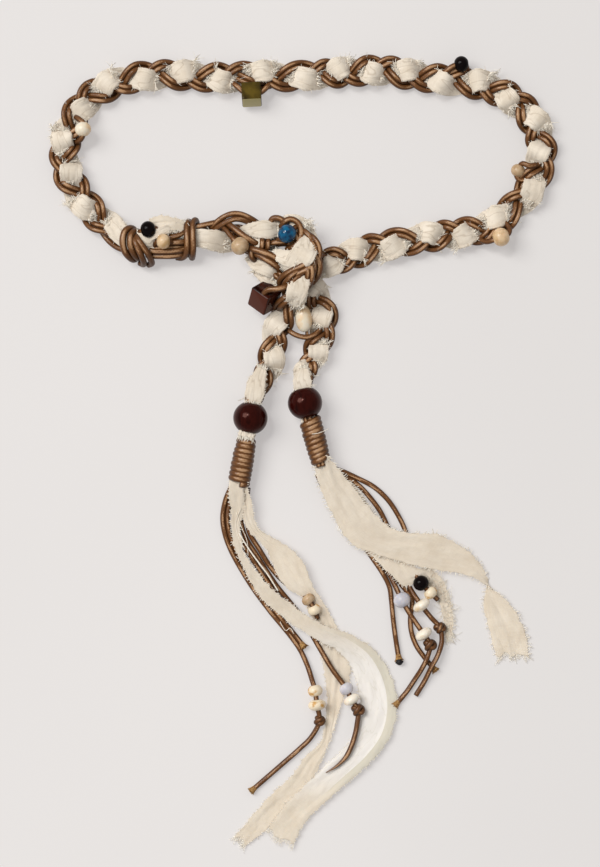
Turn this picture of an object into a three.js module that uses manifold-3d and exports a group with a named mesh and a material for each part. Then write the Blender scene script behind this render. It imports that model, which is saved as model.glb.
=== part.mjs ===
// Tie belt laid flat: two flat three-strand braids of waxed cord pairs and torn cotton, lashed together,
// half-knotted into a waist loop and ending in two tassels. Millimetres, +Z up, the floor at z = 0.
import * as THREE from 'three';
import { mergeVertices } from 'three/addons/utils/BufferGeometryUtils.js';
import Module from 'manifold-3d';

const wasm = await Module();
wasm.setup();

// Driving sizes
const cordWidth = 3.6;
const tasselWidth = 3.8;
const pairWidth = 7;
const pairThickness = 3.2;
const clothWidth = 8.3;
const clothThickness = 2.7;
const stripThickness = 1.4;
const woodBeadWidth = 25;
const woodBeadHole = 12.8;
const beadLengthShare = 0.94;
const smallHole = 6;
const cubeBevelShare = 0.07;
const coilRadius = 8;
const coilSwell = 0.9;
const coilBore = 4.9;
const coilTurns = 9;
const lashingSides = 6;
const tasselSides = 8;
const joinClothThickness = 2.4;
const stepsPerTurn = 4;
const leastStep = 0.08;
const leanGain = 1.2;
const windReach = 11.5;
const windRise = 7.3;
const windSteps = 10;

// Places are given on a plan grid that lies on the floor: x to the right, y towards the viewer's feet
const gridStep = 0.735;
const gridCentre = { x: 303.5, y: 453.7 };

// How far the strands of a braid swing sideways and up, and how much they are squeezed
const forms = {
  flat: { reach: 7, lift: 3.9, size: 1 },
  full: { reach: 6, lift: 3.9, size: 0.86 },
  knot: { reach: 4, lift: 4.3, size: 0.54 },
  bound: { reach: 4.8, lift: 3.8, size: 0.69 },
  neck: { reach: 3, lift: 4.8, size: 0.54 },
  beaded: { reach: 0.5, lift: 4.5, size: 0.84 },
  coiled: { reach: 0.4, lift: 3.5, size: 0.7 },
};

// Routes of the two braids: the cloth strand is at an edge of the braid where turn ends in a half
const mainRoute = [
  { x: 160, y: 241, z: 9.2, turn: 1.1, form: 'bound' },
  { x: 143, y: 243, z: 9.2, turn: 1.1, form: 'bound' },
  { x: 127, y: 242, z: 9.6, turn: 1.15, form: 'bound' },
  { x: 106, y: 225, z: 5.7, turn: 1.5, form: 'flat' },
  { x: 81, y: 197, z: 5.7, turn: 2.5, form: 'flat' },
  { x: 65, y: 166, z: 5.7, turn: 3.5, form: 'flat' },
  { x: 68, y: 133, z: 5.7, turn: 4.5, form: 'flat' },
  { x: 85, y: 101, z: 5.7, turn: 5.5, form: 'flat' },
  { x: 117, y: 83, z: 5.7, turn: 6.5, form: 'flat' },
  { x: 154, y: 74.5, z: 5.7, turn: 7.5, form: 'flat' },
  { x: 192, y: 76.5, z: 5.7, turn: 8.5, form: 'flat' },
  { x: 230, y: 77, z: 5.7, turn: 9.5, form: 'flat' },
  { x: 251, y: 74.4, z: 5.7, turn: 10, form: 'full' },
  { x: 272, y: 77, z: 5.7, turn: 10.5, form: 'flat' },
  { x: 316, y: 74, z: 5.7, turn: 11.5, form: 'flat' },
  { x: 347, y: 72.5, z: 5.7, turn: 12.5, form: 'flat' },
  { x: 381, y: 69.5, z: 5.7, turn: 13.5, form: 'flat' },
  { x: 415, y: 76, z: 5.7, turn: 14.5, form: 'flat' },
  { x: 451, y: 80, z: 5.7, turn: 15.5, form: 'flat' },
  { x: 486, y: 87, z: 5.7, turn: 16.5, form: 'flat' },
  { x: 516, y: 101, z: 5.7, turn: 17.5, form: 'flat' },
  { x: 537, y: 129, z: 5.7, turn: 18.5, form: 'flat' },
  { x: 542, y: 160, z: 5.7, turn: 19.5, form: 'flat' },
  { x: 523, y: 197, z: 5.7, turn: 20.5, form: 'flat' },
  { x: 489, y: 226, z: 5.7, turn: 21.5, form: 'flat' },
  { x: 455, y: 233, z: 5.7, turn: 22.5, form: 'flat' },
  { x: 423, y: 238.5, z: 5.7, turn: 23.5, form: 'flat' },
  { x: 382, y: 245.5, z: 5.7, turn: 24.5, form: 'flat' },
  { x: 350, y: 256, z: 5.6, turn: 25.5, form: 'flat' },
  { x: 324, y: 264, z: 10.1, turn: 26.5, form: 'full' },
  { x: 311, y: 269, z: 13.5, turn: 26.9, form: 'knot' },
  { x: 298, y: 275, z: 15.4, turn: 27.3, form: 'knot' },
  { x: 286, y: 280, z: 14.8, turn: 27.65, form: 'knot' },
  { x: 274.5, y: 281.5, z: 11, turn: 28, form: 'knot' },
  { x: 264, y: 273, z: 6.4, turn: 28.4, form: 'knot' },
  { x: 259, y: 263, z: 4.9, turn: 28.7, form: 'knot' },
  { x: 262, y: 249, z: 4.9, turn: 29.1, form: 'knot' },
  { x: 270, y: 237, z: 5.5, turn: 29.5, form: 'knot' },
  { x: 281, y: 228, z: 9, turn: 29.9, form: 'knot' },
  { x: 295, y: 228, z: 14.5, turn: 30.3, form: 'knot' },
  { x: 306, y: 238, z: 20, turn: 30.7, form: 'knot' },
  { x: 309, y: 252, z: 24, turn: 31.1, form: 'full' },
  { x: 305, y: 267, z: 25, turn: 31.5, form: 'full' },
  { x: 299, y: 281, z: 25, turn: 31.9, form: 'full' },
  { x: 292, y: 297, z: 20, turn: 32.4, form: 'full' },
  { x: 284, y: 314, z: 10, turn: 32.9, form: 'full' },
  { x: 276, y: 333, z: 5.7, turn: 33.5, form: 'full' },
  { x: 269, y: 366, z: 5.7, turn: 34.5, form: 'full' },
  { x: 262, y: 381, z: 6, turn: 35.1, form: 'bound' },
  { x: 256, y: 392, z: 9, turn: 35.6, form: 'bound' },
  { x: 253, y: 399.5, z: 11.8, turn: 36, form: 'neck' },
  { x: 252, y: 406, z: 12.4, turn: 36, form: 'beaded' },
  { x: 250.5, y: 418, z: 12.6, turn: 36, form: 'beaded' },
  { x: 248.5, y: 433, z: 12, turn: 36, form: 'beaded' },
  { x: 247.2, y: 438, z: 11.4, turn: 36, form: 'coiled' },
  { x: 240.4, y: 482, z: 8.6, turn: 36, form: 'coiled' },
];
const shortRoute = [
  { x: 163, y: 240, z: 9.2, turn: 1, form: 'bound' },
  { x: 184, y: 238, z: 9.2, turn: 1, form: 'bound' },
  { x: 200, y: 237, z: 8.8, turn: 1.1, form: 'bound' },
  { x: 226, y: 237, z: 6, turn: 1.5, form: 'flat' },
  { x: 240, y: 239, z: 8.2, turn: 1.8, form: 'full' },
  { x: 252, y: 244.5, z: 12.6, turn: 2.1, form: 'knot' },
  { x: 263, y: 251, z: 14.9, turn: 2.4, form: 'knot' },
  { x: 274, y: 258.5, z: 12.6, turn: 2.7, form: 'knot' },
  { x: 285, y: 266, z: 7.8, turn: 3.1, form: 'knot' },
  { x: 295, y: 273, z: 5.2, turn: 3.5, form: 'knot' },
  { x: 306, y: 281, z: 4.9, turn: 3.85, form: 'knot' },
  { x: 317, y: 290.5, z: 4.9, turn: 4.3, form: 'full' },
  { x: 329, y: 318, z: 5.7, turn: 5.25, form: 'full' },
  { x: 323, y: 348, z: 5.7, turn: 6.1, form: 'full' },
  { x: 317, y: 361, z: 5.6, turn: 6.6, form: 'bound' },
  { x: 308.5, y: 372, z: 8.4, turn: 7.3, form: 'bound' },
  { x: 303, y: 383, z: 11.8, turn: 8, form: 'neck' },
  { x: 302.8, y: 391.5, z: 12.5, turn: 8, form: 'beaded' },
  { x: 305, y: 403, z: 12.6, turn: 8, form: 'beaded' },
  { x: 307.8, y: 418, z: 12, turn: 8, form: 'beaded' },
  { x: 309.3, y: 423, z: 11.4, turn: 8, form: 'coiled' },
  { x: 321.5, y: 466, z: 8.6, turn: 8, form: 'coiled' },
];

// Routes of the tassel cords, with the beads (width and length along the cord) and end knots on them
const tasselCords = [
  {
    name: 'tassel_cord_left_1',
    rows: [
      { x: 231, y: 487, z: 7 }, { x: 225.5, y: 500, z: 3.4 }, { x: 222.5, y: 518, z: 2.15 },
      { x: 225, y: 535, z: 2.15 }, { x: 231.5, y: 552, z: 2.15 }, { x: 242, y: 571, z: 2.15 },
      { x: 252, y: 587, z: 2.15 }, { x: 262, y: 601, z: 2.15 }, { x: 272, y: 614, z: 2.15 },
      { x: 282, y: 626, z: 2.15 }, { x: 291, y: 637, z: 2.15 }, { x: 300, y: 650, z: 2.15 },
      { x: 307, y: 665, z: 2.4 }, { x: 312, y: 680, z: 4.6 },
      { x: 315.2, y: 691, z: 5.7, bead: 'left_white', colour: 'white', width: 11, length: 9.6 },
      { x: 317, y: 705, z: 6.7, bead: 'left_rondelle', colour: 'peach', width: 13.2, length: 8.6 },
      { x: 319.5, y: 721, z: 4.4, knot: 8.6 }, { x: 311, y: 738, z: 2.2 }, { x: 300, y: 749, z: 2.15 },
      { x: 283, y: 764, z: 2.15 }, { x: 268, y: 777, z: 2.15 }, { x: 253, y: 790, z: 2.15 },
    ],
  },
  {
    name: 'tassel_cord_left_2',
    rows: [
      { x: 235.6, y: 488, z: 3.2 }, { x: 231, y: 502, z: 2.2 }, { x: 228.4, y: 518, z: 2.15 },
      { x: 230.6, y: 533, z: 2.15 }, { x: 237, y: 549, z: 2.15 }, { x: 247, y: 567.5, z: 2.15 },
      { x: 257, y: 583.5, z: 2.15 }, { x: 266.6, y: 597.2, z: 2.15 }, { x: 276.6, y: 610.2, z: 2.15 },
      { x: 286.6, y: 622.2, z: 2.15 }, { x: 295.6, y: 633.2, z: 2.15 }, { x: 302.6, y: 643, z: 2.15 },
    ],
  },
  {
    name: 'tassel_cord_left_3',
    rows: [
      { x: 238, y: 488, z: 8 }, { x: 236, y: 502, z: 4 }, { x: 234.8, y: 518, z: 2.15 },
      { x: 238, y: 537, z: 2.15 }, { x: 247, y: 553, z: 2.15 }, { x: 258, y: 569, z: 2.15 },
      { x: 271, y: 586, z: 2.15 }, { x: 283, y: 601.5, z: 2.15 }, { x: 292, y: 615, z: 2.15 },
      { x: 301, y: 629, z: 2.15 },
    ],
  },
  {
    name: 'tassel_cord_left_4',
    rows: [
      { x: 242.5, y: 488, z: 3.4 }, { x: 243, y: 508, z: 2.15 }, { x: 246, y: 528, z: 2.15 },
      { x: 254, y: 545, z: 2.15 }, { x: 264, y: 561, z: 2.15 }, { x: 275, y: 577, z: 2.15 },
      { x: 287, y: 592, z: 2.15 }, { x: 297, y: 605, z: 2.15 }, { x: 304.5, y: 616, z: 2.15 },
      { x: 310, y: 629, z: 2.15 }, { x: 316.5, y: 643, z: 2.15 }, { x: 324.6, y: 657, z: 3.2 },
      { x: 332.6, y: 670, z: 4.2 }, { x: 340, y: 680, z: 4.8 },
      { x: 346.4, y: 689, z: 5.5, bead: 'left_lilac', colour: 'lilac', width: 10.4, length: 9.6 },
      { x: 351.6, y: 699.6, z: 6.4, bead: 'left_pearl', colour: 'white', width: 12.6, length: 7.6 },
      { x: 358, y: 710, z: 5.2, knot: 10 }, { x: 357, y: 725, z: 5.3 }, { x: 353, y: 742, z: 5.5 },
      { x: 346, y: 757, z: 5.5 }, { x: 337, y: 766, z: 5.5 }, { x: 326, y: 773, z: 5.5 },
    ],
  },
  {
    name: 'tassel_cord_left_5',
    rows: [
      { x: 248, y: 488, z: 6.4 }, { x: 251, y: 508, z: 2.2 }, { x: 256, y: 527, z: 2.15 },
      { x: 265, y: 545, z: 2.15 }, { x: 276, y: 562, z: 2.15 }, { x: 288.4, y: 579.2, z: 2.15 },
      { x: 299.6, y: 590.6, z: 3.2 },
      { x: 308.4, y: 599.6, z: 5.2, bead: 'left_beige', colour: 'beige', width: 10.3, length: 7.6 },
      { x: 314.4, y: 610, z: 4.6, bead: 'left_peach', colour: 'peach', width: 9, length: 6.6 },
      { x: 317.6, y: 619, z: 2.4 },
    ],
  },
  {
    name: 'tassel_cord_right_1',
    rows: [
      { x: 333, y: 468, z: 7.2 }, { x: 343, y: 471.5, z: 4 }, { x: 356, y: 477.5, z: 2.2 },
      { x: 374, y: 487, z: 2.15 }, { x: 388, y: 500, z: 2.15 }, { x: 398, y: 515, z: 2.15 },
      { x: 405.5, y: 531, z: 2.15 }, { x: 409, y: 546, z: 2.15 }, { x: 411, y: 560, z: 2.15 },
      { x: 414.4, y: 572.4, z: 3.4 },
      { x: 421, y: 583.2, z: 6, bead: 'right_black', colour: 'black', width: 11.8, length: 10 },
      { x: 430.6, y: 593, z: 5.4, bead: 'right_cream', colour: 'peach', width: 10.2, length: 9 },
      { x: 438, y: 600, z: 3.8 },
    ],
  },
  {
    name: 'tassel_cord_right_2',
    rows: [
      { x: 331, y: 472, z: 2.8 }, { x: 342, y: 479, z: 2.15 }, { x: 353, y: 488, z: 2.15 },
      { x: 365, y: 502, z: 2.15 }, { x: 376, y: 516, z: 2.15 }, { x: 387, y: 532, z: 2.15 },
      { x: 396, y: 550, z: 2.15 }, { x: 403, y: 570, z: 2.15 }, { x: 410, y: 588, z: 3.6 },
      { x: 421.4, y: 605.4, z: 6.7, bead: 'right_rondelle', colour: 'white', width: 13.2, length: 7 },
      { x: 431, y: 617.5, z: 4.6 }, { x: 440, y: 628, z: 3.6, knot: 7 }, { x: 442, y: 641, z: 4.4 },
      { x: 438, y: 655, z: 6.1 }, { x: 431.6, y: 667, z: 6.1 }, { x: 425, y: 681, z: 3 },
      { x: 416, y: 696, z: 2.15 },
    ],
  },
  {
    name: 'tassel_cord_right_3',
    rows: [
      { x: 319, y: 474, z: 3.2 }, { x: 325, y: 492, z: 2.15 }, { x: 335, y: 511, z: 2.15 },
      { x: 348, y: 530, z: 2.15 }, { x: 363, y: 549, z: 2.15 }, { x: 376, y: 563.5, z: 2.15 },
      { x: 388, y: 579, z: 2.2 }, { x: 396, y: 591, z: 4.6 },
      { x: 402, y: 601, z: 6.4, bead: 'right_grey', colour: 'lilac', width: 12.4, length: 10.6 },
      { x: 409, y: 612.5, z: 6.2 }, { x: 416.4, y: 623.6, z: 6.3 },
      { x: 423.6, y: 634, z: 6.4, bead: 'right_pearl', colour: 'white', width: 12.4, length: 7 },
      { x: 430, y: 645, z: 6, knot: 9 }, { x: 427.6, y: 657, z: 6.2 }, { x: 422.4, y: 668, z: 5.4 },
      { x: 415, y: 680, z: 2.6 }, { x: 407, y: 692, z: 2.15 }, { x: 397, y: 704, z: 2.15 },
    ],
  },
  {
    name: 'tassel_cord_right_4',
    rows: [
      { x: 312.6, y: 474, z: 4.4 }, { x: 318, y: 495, z: 2.2 }, { x: 329, y: 515, z: 2.15 },
      { x: 343, y: 534.6, z: 2.15 }, { x: 358, y: 553.4, z: 2.15 }, { x: 371, y: 568, z: 2.15 },
      { x: 381, y: 582, z: 2.15 }, { x: 386, y: 592, z: 2.15 }, { x: 388, y: 604, z: 2.15 },
      { x: 390, y: 618, z: 2.15 }, { x: 393, y: 632, z: 2.15 }, { x: 396, y: 645, z: 2.15 },
      { x: 398.6, y: 657.6, z: 2.15 },
    ],
  },
  {
    name: 'tassel_cord_right_5',
    rows: [
      { x: 325.6, y: 474, z: 5.4 }, { x: 333, y: 487, z: 2.2 }, { x: 346, y: 505, z: 2.15 },
      { x: 361, y: 525, z: 2.15 }, { x: 375, y: 546, z: 2.15 }, { x: 388, y: 565, z: 2.15 },
      { x: 398, y: 580.4, z: 2.15 }, { x: 405.6, y: 590, z: 2.15 }, { x: 411.8, y: 598.4, z: 2.15 },
      { x: 412.2, y: 607, z: 2.15 }, { x: 410.6, y: 617, z: 2.15 },
      { x: 411.4, y: 631, z: 2.15 }, { x: 416, y: 645, z: 2.15 }, { x: 424, y: 657, z: 2.15 },
      { x: 434, y: 669, z: 2.15 },
    ],
  },
];

// Routes of the torn cloth strips, with their widths in steps of the plan grid
const strips = [
  {
    name: 'strip_left_long',
    rows: [
      { x: 238, y: 488, z: 11.6, width: 13 }, { x: 235.6, y: 504, z: 8.6, width: 12 },
      { x: 234.6, y: 522, z: 5.6, width: 9 }, { x: 239, y: 546, z: 5, width: 9 },
      { x: 250, y: 570, z: 5, width: 14 }, { x: 267, y: 594, z: 5, width: 20 },
      { x: 290, y: 616, z: 5, width: 24 }, { x: 315, y: 633, z: 5.4, width: 24 },
      { x: 340, y: 648, z: 5.2, width: 24 }, { x: 361, y: 664, z: 2.8, width: 26 },
      { x: 375, y: 682, z: 0.7, width: 27 }, { x: 379, y: 704, z: 0.7, width: 27 },
      { x: 372, y: 728, z: 1.4, width: 29 }, { x: 357, y: 749, z: 2.6, width: 32 },
      { x: 335, y: 772, z: 2.6, width: 36 }, { x: 312, y: 797, z: 2.6, width: 36 },
      { x: 292, y: 822, z: 2.6, width: 34 }, { x: 276, y: 846, z: 2.6, width: 26 },
    ],
  },
  {
    name: 'strip_left_short',
    rows: [
      { x: 249, y: 490, z: 10.4, width: 8 }, { x: 253, y: 510, z: 7, width: 13 },
      { x: 258, y: 528, z: 5, width: 18 }, { x: 269, y: 548, z: 5, width: 26 },
      { x: 285, y: 567, z: 5, width: 36 }, { x: 300, y: 575.6, z: 5.2, width: 20 },
      { x: 313, y: 585, z: 4.8, width: 10 }, { x: 323, y: 597.6, z: 1.8, width: 9 },
      { x: 328, y: 612, z: 0.8, width: 12 },
      { x: 333, y: 630, z: 0.8, width: 18 }, { x: 338, y: 650, z: 0.8, width: 22 },
      { x: 340, y: 668, z: 0.8, width: 22 }, { x: 334, y: 688, z: 0.8, width: 15 },
      { x: 333, y: 712, z: 0.8, width: 14 }, { x: 328, y: 734, z: 0.8, width: 14 },
      { x: 319, y: 756, z: 0.8, width: 20 }, { x: 306, y: 777, z: 0.8, width: 24 },
      { x: 287, y: 797, z: 0.8, width: 24 }, { x: 268, y: 820, z: 0.8, width: 22 },
      { x: 247, y: 839, z: 0.8, width: 16 },
    ],
  },
  {
    name: 'strip_right_wide',
    rows: [
      { x: 326, y: 474, z: 11.4, width: 23 }, { x: 338, y: 494, z: 8, width: 32 },
      { x: 355, y: 520, z: 6.8, width: 36 }, { x: 382, y: 538, z: 6.8, width: 36 },
      { x: 414, y: 547, z: 7.4, width: 33 }, { x: 434, y: 552, z: 6.6, width: 33 },
      { x: 455, y: 561, z: 2.6, width: 32 }, { x: 471, y: 573, z: 0.7, width: 31 },
      { x: 484, y: 589, z: 0.7, width: 30 }, { x: 495, y: 610, z: 0.7, width: 29 },
      { x: 505, y: 634, z: 0.7, width: 31 }, { x: 512, y: 658, z: 0.7, width: 30 },
    ],
  },
  {
    name: 'strip_right_narrow',
    rows: [
      { x: 338, y: 488, z: 5.4, width: 18 }, { x: 352, y: 508, z: 4.9, width: 26 },
      { x: 368, y: 531, z: 4.9, width: 28 }, { x: 383, y: 552, z: 4.9, width: 30 },
      { x: 398, y: 564, z: 5, width: 28 }, { x: 415, y: 560, z: 5.6, width: 13 },
      { x: 429, y: 566, z: 3.8, width: 13 }, { x: 439, y: 576, z: 1.4, width: 14 },
      { x: 446, y: 590, z: 0.8, width: 15 },
      { x: 452, y: 606, z: 0.8, width: 16 }, { x: 455, y: 624, z: 0.8, width: 15 },
      { x: 455, y: 641, z: 0.8, width: 9 },
    ],
  },
];

// Plan grid place to a point in millimetres
function onPlan(x, y, z) {
  return new THREE.Vector3((x - gridCentre.x) * gridStep, (gridCentre.y - y) * gridStep, z);
}

function pathThrough(rows) {
  return new THREE.CatmullRomCurve3(rows.map((row) => onPlan(row.x, row.y, row.z)), false, 'centripetal');
}

function middleOf(points) {
  return points.reduce((sum, point) => sum.add(point), new THREE.Vector3()).divideScalar(points.length);
}

// Closed body from rings of points, each of whose quads bulges; the two ends are closed round their middles
function loft(rings) {
  const count = rings[0].length;
  const points = rings.flat().flatMap((point) => point.toArray());
  const faces = [];
  for (let ring = 0; ring + 1 < rings.length; ring += 1) {
    for (let i = 0; i < count; i += 1) {
      const a = ring * count + i;
      const b = ring * count + ((i + 1) % count);
      const next = (i + 1) % count;
      const heart = middleOf([...rings[ring], ...rings[ring + 1]]);
      const over = middleOf([rings[ring][i], rings[ring + 1][next]]).distanceTo(heart);
      const under = middleOf([rings[ring][next], rings[ring + 1][i]]).distanceTo(heart);
      faces.push(...(over > under
        ? [a, b, b + count, a, b + count, a + count]
        : [a, b, a + count, b, b + count, a + count]));
    }
  }
  const ends = [rings[0], rings[rings.length - 1]];
  ends.forEach((ring, end) => {
    const middle = middleOf(ring);
    const hub = points.length / 3;
    const first = end === 0 ? 0 : (rings.length - 1) * count;
    points.push(...middle.toArray());
    for (let i = 0; i < count; i += 1) {
      const a = first + i;
      const b = first + ((i + 1) % count);
      faces.push(...(end === 0 ? [hub, b, a] : [hub, a, b]));
    }
  });
  const geometry = new THREE.BufferGeometry();
  geometry.setAttribute('position', new THREE.Float32BufferAttribute(points, 3));
  geometry.setIndex(faces);
  return geometry;
}

// Level frame at a place on a path: ahead, side (left) and up
function frameAt(curve, t) {
  const point = curve.getPoint(t);
  const ahead = curve.getTangent(t);
  const side = new THREE.Vector3(0, 0, 1).cross(ahead).normalize();
  const up = ahead.clone().cross(side);
  return { point, ahead, side, up };
}

// Places along a braid, eight to each full cycle of its strands, and both ends of each still stretch
function braidPlaces(route) {
  const places = [0, route.length - 1];
  route.slice(0, -1).forEach((from, i) => {
    const change = route[i + 1].turn - from.turn;
    if (change === 0) {
      places.push(i, i + 1);
      return;
    }
    for (let k = Math.ceil(from.turn * stepsPerTurn); k <= route[i + 1].turn * stepsPerTurn; k += 1) {
      places.push(i + (k / stepsPerTurn - from.turn) / change);
    }
  });
  places.sort((a, b) => a - b);
  return places.filter((place, i) => i === 0 || place - places[i - 1] > leastStep);
}

function braidStations(route) {
  const curve = pathThrough(route);
  const last = route.length - 1;
  return braidPlaces(route).map((place) => {
    const i = Math.min(last - 1, Math.floor(place));
    const w = place - i;
    const from = route[i];
    const to = route[i + 1];
    const span = curve.getPoint(i / last).distanceTo(curve.getPoint((i + 1) / last));
    const mix = (key) => THREE.MathUtils.lerp(forms[from.form][key], forms[to.form][key], w);
    return {
      ...frameAt(curve, place / last),
      turn: THREE.MathUtils.lerp(from.turn, to.turn, w),
      rate: (to.turn - from.turn) / span,
      reach: mix('reach'),
      lift: mix('lift'),
      size: mix('size'),
    };
  });
}

// Cross-section of a strand, as [across, high] points: thick along its middle and thin at its edges
function strandSection(width, thickness) {
  return [[width / 2, 0], [0, thickness / 2], [-width / 2, 0], [0, -thickness / 2]];
}

// One strand: it swings across the braid once, and over and under twice, in a full cycle
function strand(route, lag, width, thickness) {
  const rings = braidStations(route).map((station) => {
    const angle = Math.PI * station.turn + lag;
    const slope = station.reach * Math.cos(angle) * Math.PI * station.rate;
    const lean = Math.atan(slope);
    const across = station.reach * Math.sin(angle);
    return strandSection(width, thickness).map(([a, high]) => {
      const offset = (a * station.size) / Math.cos(lean);
      const shift = Math.PI * station.rate * offset * Math.sin(lean) * Math.cos(lean) * leanGain;
      const height = station.lift * Math.sin(2 * (angle + shift)) + high * station.size;
      const corner = station.point.clone()
        .addScaledVector(station.side, across + offset)
        .addScaledVector(station.up, height);
      return corner.setZ(Math.max(0, corner.z));
    });
  });
  return loft(rings);
}

// Flat torn strips: a row for each bend, with the width there
function clothStrip(rows, thickness = stripThickness) {
  const curve = pathThrough(rows);
  const last = rows.length - 1;
  const rings = rows.map((row, i) => {
    const { point, side, up } = frameAt(curve, i / last);
    const reach = (row.width * gridStep) / 2;
    const corners = [[reach, -1], [reach, 1], [-reach, 1], [-reach, -1]];
    return corners.map(([across, level]) => point.clone()
      .addScaledVector(side, across)
      .addScaledVector(up, (level * thickness) / 2));
  });
  return loft(rings);
}

// Round cord along a curve
function tubeAlong(curve, width, sides, stepLength) {
  const round = new THREE.EllipseCurve(0, 0, width / 2, width / 2);
  const outline = new THREE.Shape(round.getPoints(sides).slice(0, -1));
  const steps = Math.max(2, Math.round(curve.getLength() / stepLength));
  return new THREE.ExtrudeGeometry(outline, { steps, extrudePath: curve, bevelEnabled: false });
}

function cordTube(rows, width, sides, stepLength) {
  return tubeAlong(pathThrough(rows), width, sides, stepLength);
}

// Points of a cord wound round a braid, between two rows of its route
function windingPoints(curve, { from, to, turns, start }) {
  const last = curve.points.length - 1;
  const count = turns * windSteps;
  return Array.from({ length: count + 1 }, (_, i) => {
    const { point, side, up } = frameAt(curve, (from + ((to - from) * i) / count) / last);
    const angle = Math.PI * start + (2 * Math.PI * i) / windSteps;
    return point.clone()
      .addScaledVector(side, windReach * Math.cos(angle))
      .addScaledVector(up, windRise * Math.sin(angle));
  });
}

// Manifold solids for joins and cuts
function toSolid(geometry) {
  const bare = geometry.clone();
  bare.deleteAttribute('normal');
  bare.deleteAttribute('uv');
  const merged = mergeVertices(bare, 1e-4);
  return new wasm.Manifold(new wasm.Mesh({
    numProp: 3,
    vertProperties: new Float32Array(merged.attributes.position.array),
    triVerts: new Uint32Array(merged.index.array),
  }));
}

function toGeometry(solid) {
  const mesh = solid.getMesh();
  const geometry = new THREE.BufferGeometry();
  geometry.setAttribute('position', new THREE.BufferAttribute(new Float32Array(mesh.vertProperties), 3));
  geometry.setIndex(new THREE.BufferAttribute(new Uint32Array(mesh.triVerts), 1));
  return geometry;
}

function fuse(geometries) {
  return toGeometry(geometries.map(toSolid).reduce((whole, next) => whole.add(next)));
}

// Drilled round bead: a barrel profile turned about its bore
function turnedBead(width, length, hole, sides, steps) {
  const edge = Math.asin(Math.min(0.95, hole / width));
  const profile = [];
  for (let i = 0; i <= steps; i += 1) {
    const angle = edge + ((Math.PI - 2 * edge) * i) / steps;
    profile.push(new THREE.Vector2((width / 2) * Math.sin(angle), (-length / 2) * Math.cos(angle)));
  }
  profile[0].x = hole / 2;
  profile[steps].x = hole / 2;
  profile.push(profile[0].clone());
  return new THREE.LatheGeometry(profile, sides);
}

// Drilled cube bead with bevelled edges, its bore along z
function cubeBead(side, hole) {
  const bevel = side * cubeBevelShare;
  const flat = side / 2 - bevel;
  const signs = [[-1, -1], [1, -1], [1, 1], [-1, 1]];
  const outline = new THREE.Shape(signs.map(([x, y]) => new THREE.Vector2(x * flat, y * flat)));
  const wideHole = new THREE.EllipseCurve(0, 0, hole / 2 + bevel, hole / 2 + bevel);
  outline.holes.push(new THREE.Path(wideHole.getPoints(8).slice(0, -1)));
  const geometry = new THREE.ExtrudeGeometry(outline, {
    depth: side - 2 * bevel, bevelThickness: bevel, bevelSize: bevel, bevelSegments: 1,
  });
  return geometry.translate(0, 0, bevel - side / 2);
}

// Whipping round a tassel's head: one sleeve with a swell for each turn of the cord
function coilSleeve(length) {
  const pitch = length / coilTurns;
  const profile = [new THREE.Vector2(coilBore, -length / 2)];
  for (let turn = 0; turn < coilTurns; turn += 1) {
    const low = -length / 2 + turn * pitch;
    profile.push(new THREE.Vector2(coilRadius - coilSwell, low));
    profile.push(new THREE.Vector2(coilRadius, low + pitch / 2));
  }
  profile.push(new THREE.Vector2(coilRadius - coilSwell, length / 2));
  profile.push(new THREE.Vector2(coilBore, length / 2));
  profile.push(profile[0].clone());
  return new THREE.LatheGeometry(profile, 8);
}

function knotBall(place, width) {
  const ball = new THREE.IcosahedronGeometry(width / 2, 0);
  return ball.translate(...onPlan(place.x, place.y, place.z).toArray());
}

const colours = {
  cord: { color: 0x8a5c3c, roughness: 0.45 },
  cloth: { color: 0xe6dac6, roughness: 0.95 },
  wood: { color: 0x3a1512, roughness: 0.25 },
  black: { color: 0x0c0a0b, roughness: 0.2 },
  white: { color: 0xf0e9dc, roughness: 0.4 },
  beige: { color: 0xcdb591, roughness: 0.3 },
  peach: { color: 0xe3bf8a, roughness: 0.35 },
  olive: { color: 0x54431a, roughness: 0.15 },
  blue: { color: 0x0b4f80, roughness: 0.1 },
  garnet: { color: 0x3b120e, roughness: 0.15 },
  lilac: { color: 0xc9ccd6, roughness: 0.25 },
};

const belt = new THREE.Group();

function addPiece(name, geometry, colour) {
  const material = new THREE.MeshStandardMaterial({ ...colours[colour], metalness: 0 });
  const mesh = new THREE.Mesh(geometry, material);
  mesh.name = name;
  belt.add(mesh);
  return mesh;
}

// Turns a piece made along an axis so that the axis points along a direction, at a place
function setAlong(mesh, axis, place, direction) {
  mesh.quaternion.setFromUnitVectors(axis, direction.clone().normalize());
  mesh.position.copy(place);
}

const yAxis = new THREE.Vector3(0, 1, 0);

// Both braids, each of one cloth strand and two cord pairs a third of a cycle apart
const thirdCycle = (2 * Math.PI) / 3;
[['main', mainRoute], ['short', shortRoute]].forEach(([braid, route]) => {
  addPiece(`${braid}_cloth`, strand(route, 0, clothWidth, clothThickness), 'cloth');
  addPiece(`${braid}_cord_pair_a`, strand(route, thirdCycle, pairWidth, pairThickness), 'cord');
  addPiece(`${braid}_cord_pair_b`, strand(route, -thirdCycle, pairWidth, pairThickness), 'cord');
});

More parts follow.
